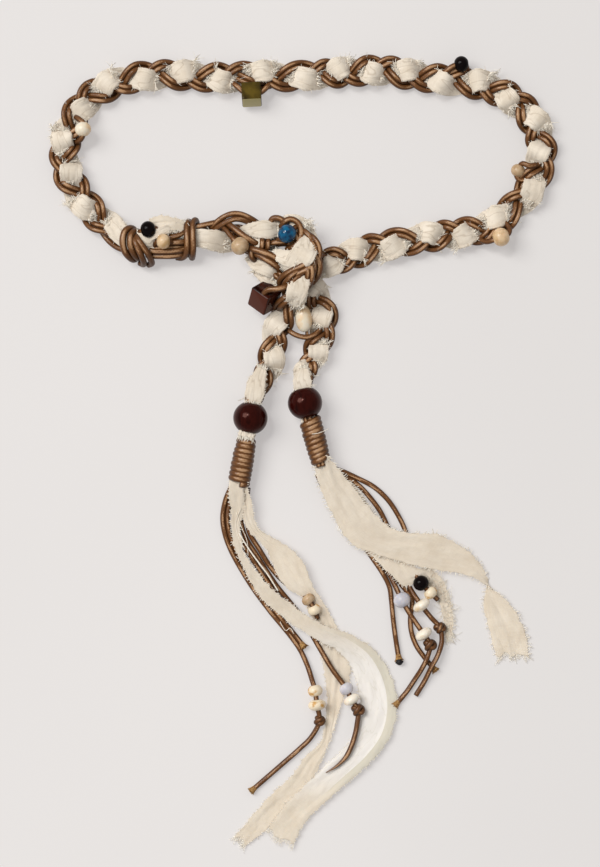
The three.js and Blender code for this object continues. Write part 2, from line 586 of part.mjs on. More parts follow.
// Lashing of the join: one cord wound round both braid ends, and a second beside its straight stretch
const leftTurns = windingPoints(pathThrough(mainRoute), { from: 1, to: 2.2, turns: 3, start: 0 });
const rightTurns = windingPoints(pathThrough(shortRoute), { from: 0.95, to: 1.75, turns: 2, start: 1 });
const lashingPath = new THREE.CatmullRomCurve3([...leftTurns.reverse(), ...rightTurns]);
addPiece('join_lashing', tubeAlong(lashingPath, cordWidth, lashingSides, 6), 'cord');
addPiece('join_cord', cordTube([
  { x: 155, y: 252.4, z: 12.8 }, { x: 168, y: 251.4, z: 12.8 }, { x: 181, y: 250.4, z: 12.8 },
], cordWidth, lashingSides, 12), 'cord');
addPiece('join_cloth_end', clothStrip([
  { x: 153, y: 224, z: 6, width: 10 }, { x: 165, y: 221.5, z: 5, width: 15 },
  { x: 179, y: 223, z: 5.5, width: 13 },
], joinClothThickness), 'cloth');

// Wood beads and the whipping below them
[
  {
    name: 'left',
    bead: { x: 250.5, y: 418, z: 12.6 },
    from: { x: 246.9, y: 440, z: 11.3 },
    to: { x: 240.7, y: 480, z: 8.7 },
  },
  {
    name: 'right',
    bead: { x: 305, y: 403, z: 12.6 },
    from: { x: 309.9, y: 425, z: 11.3 },
    to: { x: 321, y: 464, z: 8.7 },
  },
].forEach(({ name, bead, from, to }) => {
  const top = onPlan(from.x, from.y, from.z);
  const bottom = onPlan(to.x, to.y, to.z);
  const along = bottom.clone().sub(top);
  const round = turnedBead(woodBeadWidth, woodBeadWidth * beadLengthShare, woodBeadHole, 16, 6);
  const beadPlace = onPlan(bead.x, bead.y, bead.z);
  const woodBead = addPiece(`wood_bead_${name}`, round, 'wood');
  setAlong(woodBead, yAxis, beadPlace, top.clone().sub(beadPlace).setZ(0));
  const middle = top.clone().add(bottom).divideScalar(2);
  setAlong(addPiece(`coil_${name}`, coilSleeve(along.length()), 'cord'), yAxis, middle, along);
});

// Small drilled beads on the loop
[
  { name: 'white_bead', colour: 'white', width: 12.4, x: 84.6, y: 129, z: 14.2, bore: [0, 1, 0] },
  { name: 'black_bead_join', colour: 'black', width: 11.8, x: 148.6, y: 227.6, z: 17.4, bore: [1, 0.2, 0] },
  { name: 'peach_bead_join', colour: 'peach', width: 10.4, x: 162.5, y: 240, z: 20.2, bore: [1, 0, 0] },
  { name: 'beige_bead_knot', colour: 'beige', width: 13, x: 237, y: 247, z: 20.4, bore: [0.6, 0.8, 0] },
  { name: 'blue_bead', colour: 'blue', width: 13.6, x: 287, y: 233, z: 25.2, bore: [0.8, -0.6, 0] },
  { name: 'black_bead_top', colour: 'black', width: 11.8, x: 461, y: 61.9, z: 10.9, bore: [1, 0.1, 0] },
  { name: 'beige_bead_right', colour: 'beige', width: 10.4, x: 516.8, y: 170, z: 8, bore: [0.3, 1, 0] },
  { name: 'pale_bead_right', colour: 'peach', width: 13.8, x: 501, y: 237, z: 15, bore: [1, 0.3, 0] },
].forEach(({ name, colour, width, x, y, z, bore }) => {
  const mesh = addPiece(name, turnedBead(width, width * beadLengthShare, smallHole, 10, 4), colour);
  setAlong(mesh, yAxis, onPlan(x, y, z), new THREE.Vector3(...bore));
});
const nugget = addPiece('ivory_nugget', turnedBead(16, 20.6, smallHole, 10, 4), 'white');
setAlong(nugget, yAxis, onPlan(306.4, 319.4, 8.2), new THREE.Vector3(-0.14, 1, 0));

// Cube beads, each turned about y, x and z in that order
[
  {
    name: 'olive_cube', colour: 'olive', side: 14.6,
    x: 252, y: 100.2, z: 8.2, tilt: 0.08, roll: 0, turn: 0.14,
  },
  {
    name: 'garnet_cube', colour: 'garnet', side: 15.6,
    x: 260, y: 300, z: 13.2, tilt: 0.6, roll: 0.78, turn: 0.1,
  },
].forEach(({ name, colour, side, x, y, z, tilt, roll, turn }) => {
  const mesh = addPiece(name, cubeBead(side, smallHole), colour);
  mesh.rotation.set(tilt, roll, turn, 'ZXY');
  mesh.position.copy(onPlan(x, y, z));
});

// Tassel cords, each with its beads and end knots
tasselCords.forEach(({ name, rows }) => {
  const curve = pathThrough(rows);
  const last = rows.length - 1;
  const knots = rows.filter((row) => row.knot).map((row) => knotBall(row, row.knot));
  const tube = tubeAlong(curve, tasselWidth, tasselSides, 3 * tasselWidth);
  addPiece(name, knots.length ? fuse([tube, ...knots]) : tube, 'cord');
  rows.forEach((row, i) => {
    if (!row.bead) return;
    const round = turnedBead(row.width, row.length, smallHole, 10, 4);
    const mesh = addPiece(`cord_bead_${row.bead}`, round, row.colour);
    setAlong(mesh, yAxis, onPlan(row.x, row.y, row.z), curve.getTangent(i / last));
  });
});

// Torn cloth strips of the tassels
strips.forEach(({ name, rows }) => addPiece(name, clothStrip(rows), 'cloth'));

export default belt;
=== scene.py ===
"""Braided tie belt lying flat: waxed cords braided with torn cotton, lashed, knotted, beaded, tasselled."""
import math
import random
from collections import namedtuple

import bmesh
import bpy
import numpy as np
from mathutils import Matrix, Vector, noise


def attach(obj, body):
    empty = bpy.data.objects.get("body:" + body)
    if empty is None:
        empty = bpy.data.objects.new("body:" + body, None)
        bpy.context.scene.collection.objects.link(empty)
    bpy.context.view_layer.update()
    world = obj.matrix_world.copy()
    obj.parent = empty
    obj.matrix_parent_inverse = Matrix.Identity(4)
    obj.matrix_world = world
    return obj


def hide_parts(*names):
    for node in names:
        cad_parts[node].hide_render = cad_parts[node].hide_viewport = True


bl_info = {
    "name": "Braided Tie Belt",
    "version": (1, 0, 0),
    "blender": (4, 5, 0),
    "location": "View3D > Sidebar > Tie Belt",
    "description": "Dresses a braided cord and cotton tie belt that lies flat, with its beads and tassels",
    "category": "Add Mesh",
}

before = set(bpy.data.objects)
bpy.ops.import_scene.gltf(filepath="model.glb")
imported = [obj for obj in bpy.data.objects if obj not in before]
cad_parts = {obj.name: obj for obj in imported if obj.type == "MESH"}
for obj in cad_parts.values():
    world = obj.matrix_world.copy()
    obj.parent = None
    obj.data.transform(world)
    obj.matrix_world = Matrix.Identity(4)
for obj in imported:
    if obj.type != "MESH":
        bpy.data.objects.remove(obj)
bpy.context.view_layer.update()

# Plan grid of the routes, in metres a step: x to the right, y towards the tassels, heights in millimetres
GRID_STEP = 0.000735
GRID_CENTRE_X = 303.5
GRID_CENTRE_Y = 453.7
MM = 0.001

# The camera's picture: its middle on the plan grid, its height in grid steps and the level that it is true at
PICTURE_MIDDLE = (300.0, 433.5)
PICTURE_STEPS_HIGH = 867
PICTURE_LEVEL = 7 * MM
# Height of the camera, how near it sees, the size of its sensor in millimetres, and the side of the floor
CAMERA_HEIGHT = 2.6
NEAREST_SEEN = 0.05
SENSOR = 36.0
FLOOR_SIDE = 8

FULL_TURN = 2 * math.pi
UP = np.array([0, 0, 1.0])

# Height of the middle of a tassel cord that lies on the floor, and bores of the small beads, in millimetres
LYING = 2.15
LOOP_BORE = 3.8
TASSEL_BORE = 4.4

# Columns of the tables below. Places are on the plan grid, and heights and the sizes of beads in millimetres
BraidRow = namedtuple("BraidRow", "x y z turn form")
Form = namedtuple("Form", "reach lift size")
CordRow = namedtuple("CordRow", "x y z", defaults=[LYING])
ScrapRow = namedtuple("ScrapRow", "x y z width")
StripRow = namedtuple("StripRow", "x1 y1 z1 x2 y2 z2 folds depth")
BeadPlace = namedtuple("BeadPlace", "node finish width length x y z heading bore", defaults=[LOOP_BORE])
TasselBead = namedtuple("TasselBead", "node finish width length row bore", defaults=[TASSEL_BORE])
TasselCord = namedtuple("TasselCord", "node rows beads knot knot_width end")
Braid = namedtuple("Braid", "name route tufts loose_threads")
Whipping = namedtuple("Whipping", "top bottom lean widening")
WoodBead = namedtuple("WoodBead", "place heading")
CubePlace = namedtuple("CubePlace", "side place tilt roll spin bore_turn")
Stone = namedtuple(
    "Stone", "material slot low high span scale rough glow gloss lit",
    defaults=[(0.35, 0.65), 160.0, 0.22, 0.0, 0.35, None],
)
Sun = namedtuple("Sun", "toward spread strength colour")


def braid_route(*rows):
    return [BraidRow(*row) for row in rows]


def cord_route(*rows):
    """A route whose rows without a height lie on the floor."""
    return [CordRow(*row) for row in rows]


def strip_rows(*rows):
    return [StripRow(*row) for row in rows]


def scrap_rows(*rows):
    return [ScrapRow(*row) for row in rows]


# How far the strands of a braid swing sideways and up in millimetres, and their size there, as a share
FORMS = {
    "flat": Form(7.8, 3.5, 1.0),
    "full": Form(6.8, 3.6, 0.92),
    "knot": Form(4.8, 3.9, 0.8),
    "bound": Form(4.8, 3.5, 0.8),
    "neck": Form(3.4, 3.6, 0.74),
    "beaded": Form(0.5, 3.2, 0.7),
    "coiled": Form(0.4, 3.0, 0.66),
}
# The cloth strand swings less far than the cords, which show outside it
CLOTH_REACH = 0.6
# It lies higher than the cords do, so that more of it shows, and most of all where it crosses over them
CLOTH_LIFT = 1.3 * MM
CLOTH_RAISED = 0.5

# Routes of the two braids: the cloth strand is at an edge of the braid where turn ends in a half
MAIN_ROUTE = braid_route(
    (160, 241, 9.2, 1.1, "bound"),
    (143, 243, 9.2, 1.1, "bound"),
    (127, 242, 9.6, 1.15, "bound"),
    (106, 225, 5.7, 1.5, "flat"),
    (81, 197, 5.7, 2.5, "flat"),
    (65, 166, 5.7, 3.5, "flat"),
    (68, 133, 5.7, 4.5, "flat"),
    (85, 101, 5.7, 5.5, "flat"),
    (117, 83, 5.7, 6.5, "flat"),
    (154, 74.5, 5.7, 7.5, "flat"),
    (192, 76.5, 5.7, 8.5, "flat"),
    (230, 77, 5.7, 9.5, "flat"),
    (251, 74.4, 5.7, 10, "full"),
    (272, 77, 5.7, 10.5, "flat"),
    (316, 74, 5.7, 11.5, "flat"),
    (347, 72.5, 5.7, 12.5, "flat"),
    (381, 69.5, 5.7, 13.5, "flat"),
    (415, 76, 5.7, 14.5, "flat"),
    (451, 80, 5.7, 15.5, "flat"),
    (486, 87, 5.7, 16.5, "flat"),
    (516, 101, 5.7, 17.5, "flat"),
    (537, 129, 5.7, 18.5, "flat"),
    (542, 160, 5.7, 19.5, "flat"),
    (523, 197, 5.7, 20.5, "flat"),
    (489, 226, 5.7, 21.5, "flat"),
    (455, 233, 5.7, 22.5, "flat"),
    (423, 238.5, 5.7, 23.5, "flat"),
    (382, 245.5, 5.7, 24.5, "flat"),
    (350, 256, 5.6, 25.5, "flat"),
    (324, 264, 10, 26.5, "full"),
    (311, 269, 13.5, 26.9, "knot"),
    (298, 275, 15.4, 27.3, "knot"),
    (286, 280, 14.8, 27.65, "knot"),
    (276.5, 279, 11, 28, "knot"),
    (266.6, 271, 6.4, 28.4, "knot"),
    (261, 262, 4.9, 28.7, "knot"),
    (262, 249, 4.9, 29.1, "knot"),
    (270, 237, 5.5, 29.5, "knot"),
    (281, 228, 9, 29.9, "knot"),
    (295, 228, 14.5, 30.3, "knot"),
    (306, 238, 20, 30.7, "knot"),
    (309, 252, 24, 31.1, "full"),
    (305, 267, 25, 31.5, "full"),
    (299, 281, 25, 31.9, "full"),
    (292, 297, 20, 32.4, "full"),
    (284, 314, 10, 32.9, "full"),
    (276, 333, 5.7, 33.5, "full"),
    (269, 366, 5.7, 34.5, "full"),
    (262, 381, 6, 35.1, "bound"),
    (256, 392, 9, 35.6, "bound"),
    (253, 399.5, 11.8, 36, "neck"),
    (252, 406, 12.4, 36, "beaded"),
    (250.5, 418, 12.6, 36, "beaded"),
    (248.5, 433, 12, 36, "beaded"),
    (247.2, 438, 11.4, 36, "coiled"),
    (240.4, 482, 8.6, 36, "coiled"),
)
SHORT_ROUTE = braid_route(
    (163, 240, 9.2, 1, "bound"),
    (184, 238, 9.2, 1, "bound"),
    (200, 237, 8.8, 1.1, "bound"),
    (226, 237, 6, 1.5, "flat"),
    (240, 239, 8, 1.8, "full"),
    (252, 244.5, 10.6, 2.1, "knot"),
    (263, 251, 12, 2.4, "knot"),
    (274, 258.5, 11, 2.7, "knot"),
    (285, 266, 7.8, 3.1, "knot"),
    (295, 273, 5.2, 3.5, "knot"),
    (306, 281, 4.9, 3.85, "knot"),
    (312, 289.5, 4.9, 4.3, "full"),
    (325, 317, 5.7, 5.25, "full"),
    (317, 347, 5.7, 6.1, "full"),
    (311.4, 360.6, 5.6, 6.6, "bound"),
    (305.6, 372, 8.4, 7.3, "bound"),
    (303, 383, 11.8, 8, "neck"),
    (302.8, 391.5, 12.5, 8, "beaded"),
    (305, 403, 12.6, 8, "beaded"),
    (307.8, 418, 12, 8, "beaded"),
    (309.3, 423, 11.4, 8, "coiled"),
    (321.5, 466, 8.6, 8, "coiled"),
)

# The free cords of the tassels. A bead sits at a row of its cord's route, and so does a knot
TASSEL_CORDS = [
    TasselCord(
        "tassel_cord_left_1",
        cord_route(
            (231, 487, 7), (225.5, 500, 3.4), (222.5, 518), (225, 535), (231.5, 552), (242, 571),
            (252, 587), (262, 601), (272, 614), (282, 626), (291, 637), (300, 650), (307, 665, 2.4),
            (312, 680, 4.6), (315.2, 691, 5.7), (317, 705, 6.7), (319.5, 721, 4.4), (311, 738, 2.2),
            (300, 749), (283, 764), (268, 777), (253, 790),
        ),
        [
            TasselBead("cord_bead_left_white", "streaked", 11, 9.6, 14),
            TasselBead("cord_bead_left_rondelle", "streaked", 13.2, 8.6, 15),
        ],
        16, 9.0, "flared",
    ),
    TasselCord(
        "tassel_cord_left_2",
        cord_route(
            (235.6, 488, 3.2), (230, 502, 2.2), (227.4, 518), (229.4, 533), (235.6, 549), (245.8, 568),
            (256, 584.2), (265.6, 598.4), (275.4, 611.4), (285, 623.4), (294.4, 634.8), (302.6, 645.4),
        ),
        [], None, 0, "flared",
    ),
    TasselCord(
        "tassel_cord_left_3",
        cord_route(
            (238, 488, 8), (235.4, 502, 4), (234.4, 514), (236, 527), (241, 541), (251.4, 558),
            (262, 574.1), (273.4, 590.4), (284, 603.6), (295, 616),
        ),
        [], None, 0, "flared",
    ),
    TasselCord(
        "tassel_cord_left_4",
        cord_route(
            (242.5, 488, 3.4), (240.8, 504), (240.6, 520), (245.2, 537), (256.2, 555), (266.5, 571.4),
            (278, 588), (290, 602.6), (300, 615), (308.4, 629), (316.5, 643), (324.6, 657, 3.2),
            (332.6, 670, 4.2), (340, 680, 4.8), (346.4, 689, 5.5), (351.6, 699.6, 6.4), (358, 710, 5.2),
            (357, 725, 5.3), (353, 742, 5.5), (346, 757, 5.5), (337, 766, 5.5), (326, 773, 5.5),
        ),
        [
            TasselBead("cord_bead_left_lilac", "lilac", 10.4, 9.6, 14),
            TasselBead("cord_bead_left_pearl", "white", 12.6, 7.6, 15),
        ],
        16, 10.6, "tapered",
    ),
    TasselCord(
        "tassel_cord_left_5",
        cord_route(
            (248, 488, 6.4), (246.6, 508, 2.2), (249.2, 532), (260, 550.8), (271, 568), (284.6, 582.6),
            (299, 592), (308.4, 599.6, 5.2), (314.4, 610, 4.6), (317.6, 619, 2.4),
        ),
        [
            TasselBead("cord_bead_left_beige", "beige", 10.4, 8.4, 7),
            TasselBead("cord_bead_left_peach", "streaked", 10, 8.2, 8),
        ],
        None, 0, "cut",
    ),
    TasselCord(
        "tassel_cord_right_1",
        cord_route(
            (333, 468, 7.2), (343, 471.5, 4), (356, 477.5, 2.2), (374, 487), (388, 500), (398, 515),
            (405.5, 531), (409, 546), (411, 560), (414.4, 572.4, 3.4), (421, 583.2, 6), (430.6, 593, 5.4),
            (438, 600, 3.8),
        ),
        [
            TasselBead("cord_bead_right_black", "black", 11.8, 11.2, 10),
            TasselBead("cord_bead_right_cream", "streaked", 10.2, 9, 11),
        ],
        None, 0, "cut",
    ),
    TasselCord(
        "tassel_cord_right_2",
        cord_route(
            (331, 472, 2.8), (347, 477.4), (359.6, 486.4), (371, 498.6), (380.6, 512), (389, 530),
            (396, 550), (403, 570), (410, 588, 3.6), (421.4, 605.4, 7.1), (431, 617.5, 4.6),
            (440, 628, 3.6), (442, 641, 4.4), (438, 655, 6.1), (431.6, 667, 6.1), (425, 681, 3),
            (416, 696),
        ),
        [TasselBead("cord_bead_right_rondelle", "white", 14, 8.2, 9)],
        11, 9.8, "cut",
    ),
    TasselCord(
        "tassel_cord_right_3",
        cord_route(
            (322, 474, 3.2), (332, 491), (343.6, 508), (356, 525.4), (367.6, 542), (378.4, 557.4),
            (388.6, 573, 2.2), (396, 587.6, 4.6), (402, 600, 6.6), (409, 612.5, 6.3), (416.4, 623.6, 6.5),
            (423.6, 634, 6.8), (430, 645, 6), (427.6, 657, 6.2), (422.4, 668, 5.4), (415, 680, 2.6),
            (407, 692), (397, 704),
        ),
        [
            TasselBead("cord_bead_right_grey", "lilac", 12.8, 11.6, 8),
            TasselBead("cord_bead_right_pearl", "white", 13.4, 8.2, 11),
        ],
        12, 10.6, "flared",
    ),
    TasselCord(
        "tassel_cord_right_4",
        cord_route(
            (317, 474, 4.4), (326, 493, 2.2), (337.6, 510.6), (350.6, 528.4), (362.6, 544.4),
            (373.8, 560), (384, 575.4), (389.8, 588), (391.6, 601), (393, 616), (394.6, 630),
            (396.6, 644), (398.8, 657.6),
        ),
        [], None, 0, "burnt",
    ),
    TasselCord(
        "tassel_cord_right_5",
        cord_route(
            (325.6, 474, 5.4), (333, 487, 2.2), (346, 505), (361, 525), (375, 546), (388, 565),
            (398, 580.4), (405.6, 590), (411.8, 598.4), (412.2, 607), (410.6, 617), (411.4, 631),
            (416, 645), (424, 657), (434, 669),
        ),
        [], None, 0, "flared",
    ),
]

# How far the bare threads stand out at the edges of a torn strip
LONG_FRINGE = 2.8 * MM
SHORT_FRINGE = 1.9 * MM

# Torn strips of the tassels: a place on each torn edge, the folds between them and their depth in millimetres
STRIPS = {
    "strip_left_long": strip_rows(
        (230, 477, 9, 241, 477, 13.6, 1, 0.5), (229, 489, 8, 243, 489, 12, 1.5, 0.9),
        (229, 500, 6.4, 244, 500, 8.6, 1.5, 1), (231, 511, 5.2, 243, 511.5, 6.6, 1.5, 0.8),
        (231.4, 526, 4.8, 240.4, 526, 5.8, 1.5, 0.7), (232.6, 542, 4.6, 241.4, 540, 5.4, 1, 0.5),
        (238, 556.6, 4.6, 244.4, 553.4, 5.2, 1, 0.4), (245.6, 572.4, 4.6, 253.4, 567, 5.2, 1, 0.4),
        (255, 589.2, 4.6, 264.4, 580.8, 5.2, 1, 0.5), (266, 603.4, 4.6, 276.6, 593, 5.2, 1, 0.5),
        (279, 614, 4.6, 290, 603, 5.2, 1, 0.5), (294, 626, 4.8, 304.3, 614.3, 5.6, 1, 0.5),
        (318, 640, 4.6, 328.4, 627, 5.8, 1.5, 0.5), (339, 652, 3, 353, 636, 3.8, 1.5, 0.5),
        (351, 667, 1.4, 376, 652, 1.6, 1.5, 0.6), (357, 684, 0.8, 391, 676, 0.8, 1.5, 0.7),
        (361, 706, 0.8, 397, 705, 2.2, 1.5, 0.8), (358, 728, 1.2, 391, 735, 3.2, 1.5, 0.8),
        (346, 747, 2, 374, 759, 3.6, 1.5, 0.8), (326, 766, 2.4, 350, 781, 3.4, 1.5, 0.8),
        (304, 787, 2.4, 325, 803, 3.2, 1.5, 0.8), (283, 808, 2.4, 305, 823, 3, 1.5, 0.7),
        (268, 830, 2.2, 293, 846, 2.8, 1.5, 0.7),
    ),
    "strip_left_short": strip_rows(
        (238, 478, 10, 245, 479, 12, 1, 0.5), (238, 489, 8.4, 248, 489, 11.6, 1.5, 1),
        (240, 501, 6, 252, 503, 9, 1.5, 1), (242, 517, 4.8, 254, 517, 6.6, 2, 0.9),
        (250.6, 533, 4.6, 260, 530, 6, 2, 0.8), (264, 546, 4.6, 274, 538.6, 6, 2, 0.8),
        (271.4, 560.6, 4.6, 291, 549, 6, 2, 0.8), (278, 576, 4.8, 305, 565, 6.4, 2, 0.9),
        (288.6, 589, 5, 310.4, 580.6, 6.6, 2, 0.9), (301, 596.4, 4.6, 315, 590.6, 6, 2, 0.9),
        (308, 609, 2, 325, 605, 3, 2, 0.8), (314, 622, 0.9, 332, 618, 1.4, 2, 0.7),
        (319, 640, 0.8, 341, 637, 0.8, 2, 0.7), (322, 660, 0.8, 350, 659, 0.8, 2.5, 0.8),
        (326, 682, 0.8, 349, 684, 1.2, 2.5, 1.1), (327, 706, 0.8, 340, 708, 1.6, 2, 1.2),
        (325, 727, 0.8, 334, 730, 1.8, 2, 1.1), (321, 742, 1, 327, 748, 2.4, 1, 0.9),
        (306, 757, 1, 321, 763, 2.2, 1.5, 0.9), (293, 775, 0.8, 309, 785, 1.6, 1.5, 0.8),
        (272, 795, 0.8, 289, 806, 1.2, 1.5, 0.7), (251, 818, 0.8, 268, 829, 1.2, 1.5, 0.7),
        (236, 836, 0.8, 247, 845, 1.2, 1.5, 0.7),
    ),
    "strip_right_wide": strip_rows(
        (314, 459, 10, 326, 455, 14, 1.5, 0.6), (315, 467, 9, 333, 462, 12.4, 2, 1.2),
        (319, 483, 7.6, 343, 475, 9.2, 2.5, 1.2), (326, 501, 6.6, 354, 488, 7.8, 2.5, 1),
        (334, 517, 6.2, 364, 502, 7, 2, 0.8), (342, 532, 6, 376, 515, 6.8, 1.5, 0.7),
        (353, 545, 6, 388, 526, 6.6, 1.5, 0.6), (371, 552, 6.2, 401, 531.5, 6.6, 1.5, 0.6),
        (391, 559, 6.6, 418, 533.5, 6.6, 1.5, 0.6), (413, 565, 6.6, 437, 534, 5.4, 1.5, 0.6),
        (436, 570, 4.6, 455, 543, 3.4, 1.5, 0.6), (456, 573, 3.6, 472, 554.5, 1.8, 1.5, 0.7),
        (472, 577, 3.4, 482, 567, 1.2, 1.5, 0.8), (485, 584, 3.2, 488, 579, 0.9, 1, 0.5),
        (499, 594, 2.8, 487, 590, 0.8, 1, 0.5), (510, 604, 2, 484, 602, 0.8, 1.5, 0.7),
        (519, 617, 1.4, 487, 619, 0.8, 1.5, 0.8), (526, 635, 1, 492, 638, 0.8, 1.5, 0.8),
        (529, 654, 0.8, 496, 656, 0.8, 2, 0.8),
    ),
    "strip_right_narrow": strip_rows(
        (335, 486, 4.9, 350, 480, 5.3, 2, 0.4), (346, 510, 4.7, 365, 500, 5.1, 2, 0.4),
        (355, 530, 4.7, 378, 521, 5.1, 2, 0.4), (363, 547, 4.7, 390, 536, 5.1, 2, 0.4),
        (376, 560, 4.7, 402, 546, 5.2, 2, 0.5), (391, 575, 4.8, 411, 556, 5.4, 2, 0.6),
        (404, 586, 4.9, 417, 568, 5.4, 2, 0.6), (414, 584, 4.6, 423, 568, 5, 1.5, 0.6),
        (424, 583, 2.4, 431, 569, 3, 1.5, 0.7), (433, 590, 1, 441, 577, 1.4, 1.5, 0.8),
        (440, 604, 0.8, 449, 594, 0.9, 1.5, 0.8), (444, 620, 0.8, 453, 614, 0.8, 1.5, 0.8),
        (446, 638, 0.8, 453, 635, 0.8, 1, 0.8),
    ),
}
# The free end of the cloth strand, tucked under the lashing, and the bare threads at its edges
JOIN_FRINGE = 1.6 * MM
JOIN_FLAP = strip_rows(
    (150, 231, 13.4, 149.5, 219, 13.6, 1.5, 0.9), (160, 232.5, 16, 159, 216.5, 14.6, 1.5, 0.9),
    (172, 231, 16, 172, 217.5, 14.4, 1.5, 0.9), (185, 233, 13.6, 184, 221, 12.6, 1.5, 0.7),
)

# Short stretches of the folded cotton that lie on top: in the join and the knot, in the necks above the wood
# beads, and between the left wood bead and its whipping. Their widths are in grid steps
SCRAPS = {
    "join_cotton_low": scrap_rows(
        (134, 233, 12, 8), (139, 237, 15.4, 12), (146, 240, 16.4, 12), (153, 243, 14, 9),
        (158, 245, 9, 6),
    ),
    "join_cotton_high": scrap_rows(
        (147, 241, 14, 5), (153, 236.6, 17, 7), (159, 232.4, 17.4, 8), (167, 229.4, 16, 9),
        (176, 228, 13, 9),
    ),
    "knot_cotton_top": scrap_rows(
        (240, 231, 9, 7), (248, 230, 14.4, 12), (258, 229.6, 18.8, 17), (269, 229.6, 19.4, 19),
        (280, 230, 15, 12),
    ),
    "knot_cotton_left_lobe": scrap_rows(
        (273, 252, 18, 6), (279, 255, 22.6, 13), (288, 258.4, 25.4, 17), (298, 259, 26, 16),
        (306, 256, 22, 12),
    ),
    "knot_cotton_middle": scrap_rows(
        (304.6, 233, 20, 7), (306.4, 240, 25.4, 14), (304, 249, 28, 20), (297, 258, 28, 20),
        (289, 264.6, 25.4, 13), (283, 269, 20, 7),
    ),
    "knot_cotton_left": scrap_rows(
        (248, 257, 6, 7), (255, 263, 12.4, 13), (263, 267.4, 15.6, 15), (270, 271.6, 16, 13),
        (276, 276, 12, 9),
    ),
    "knot_cotton_low": scrap_rows(
        (306, 270, 21, 10), (302, 279, 27.6, 17), (299, 289, 28.4, 19), (296, 299, 25, 16),
        (294, 306, 19, 10),
    ),
    "neck_cotton_left": scrap_rows(
        (262.4, 366, 12, 8), (259.8, 375, 14.6, 14), (256.8, 385, 16, 18), (254.8, 395.6, 16.4, 18),
        (253.4, 404, 14.8, 14),
    ),
    "neck_cotton_right": scrap_rows(
        (303.6, 366, 12, 6), (303.4, 373, 15, 13), (302.4, 381, 16.4, 19), (302.4, 388, 16, 18),
        (302.6, 392, 14.6, 14),
    ),
    "whipping_cotton": scrap_rows(
        (250, 428, 13, 12), (246.8, 433.6, 16.8, 16), (245.4, 439.6, 16, 15),
    ),
}

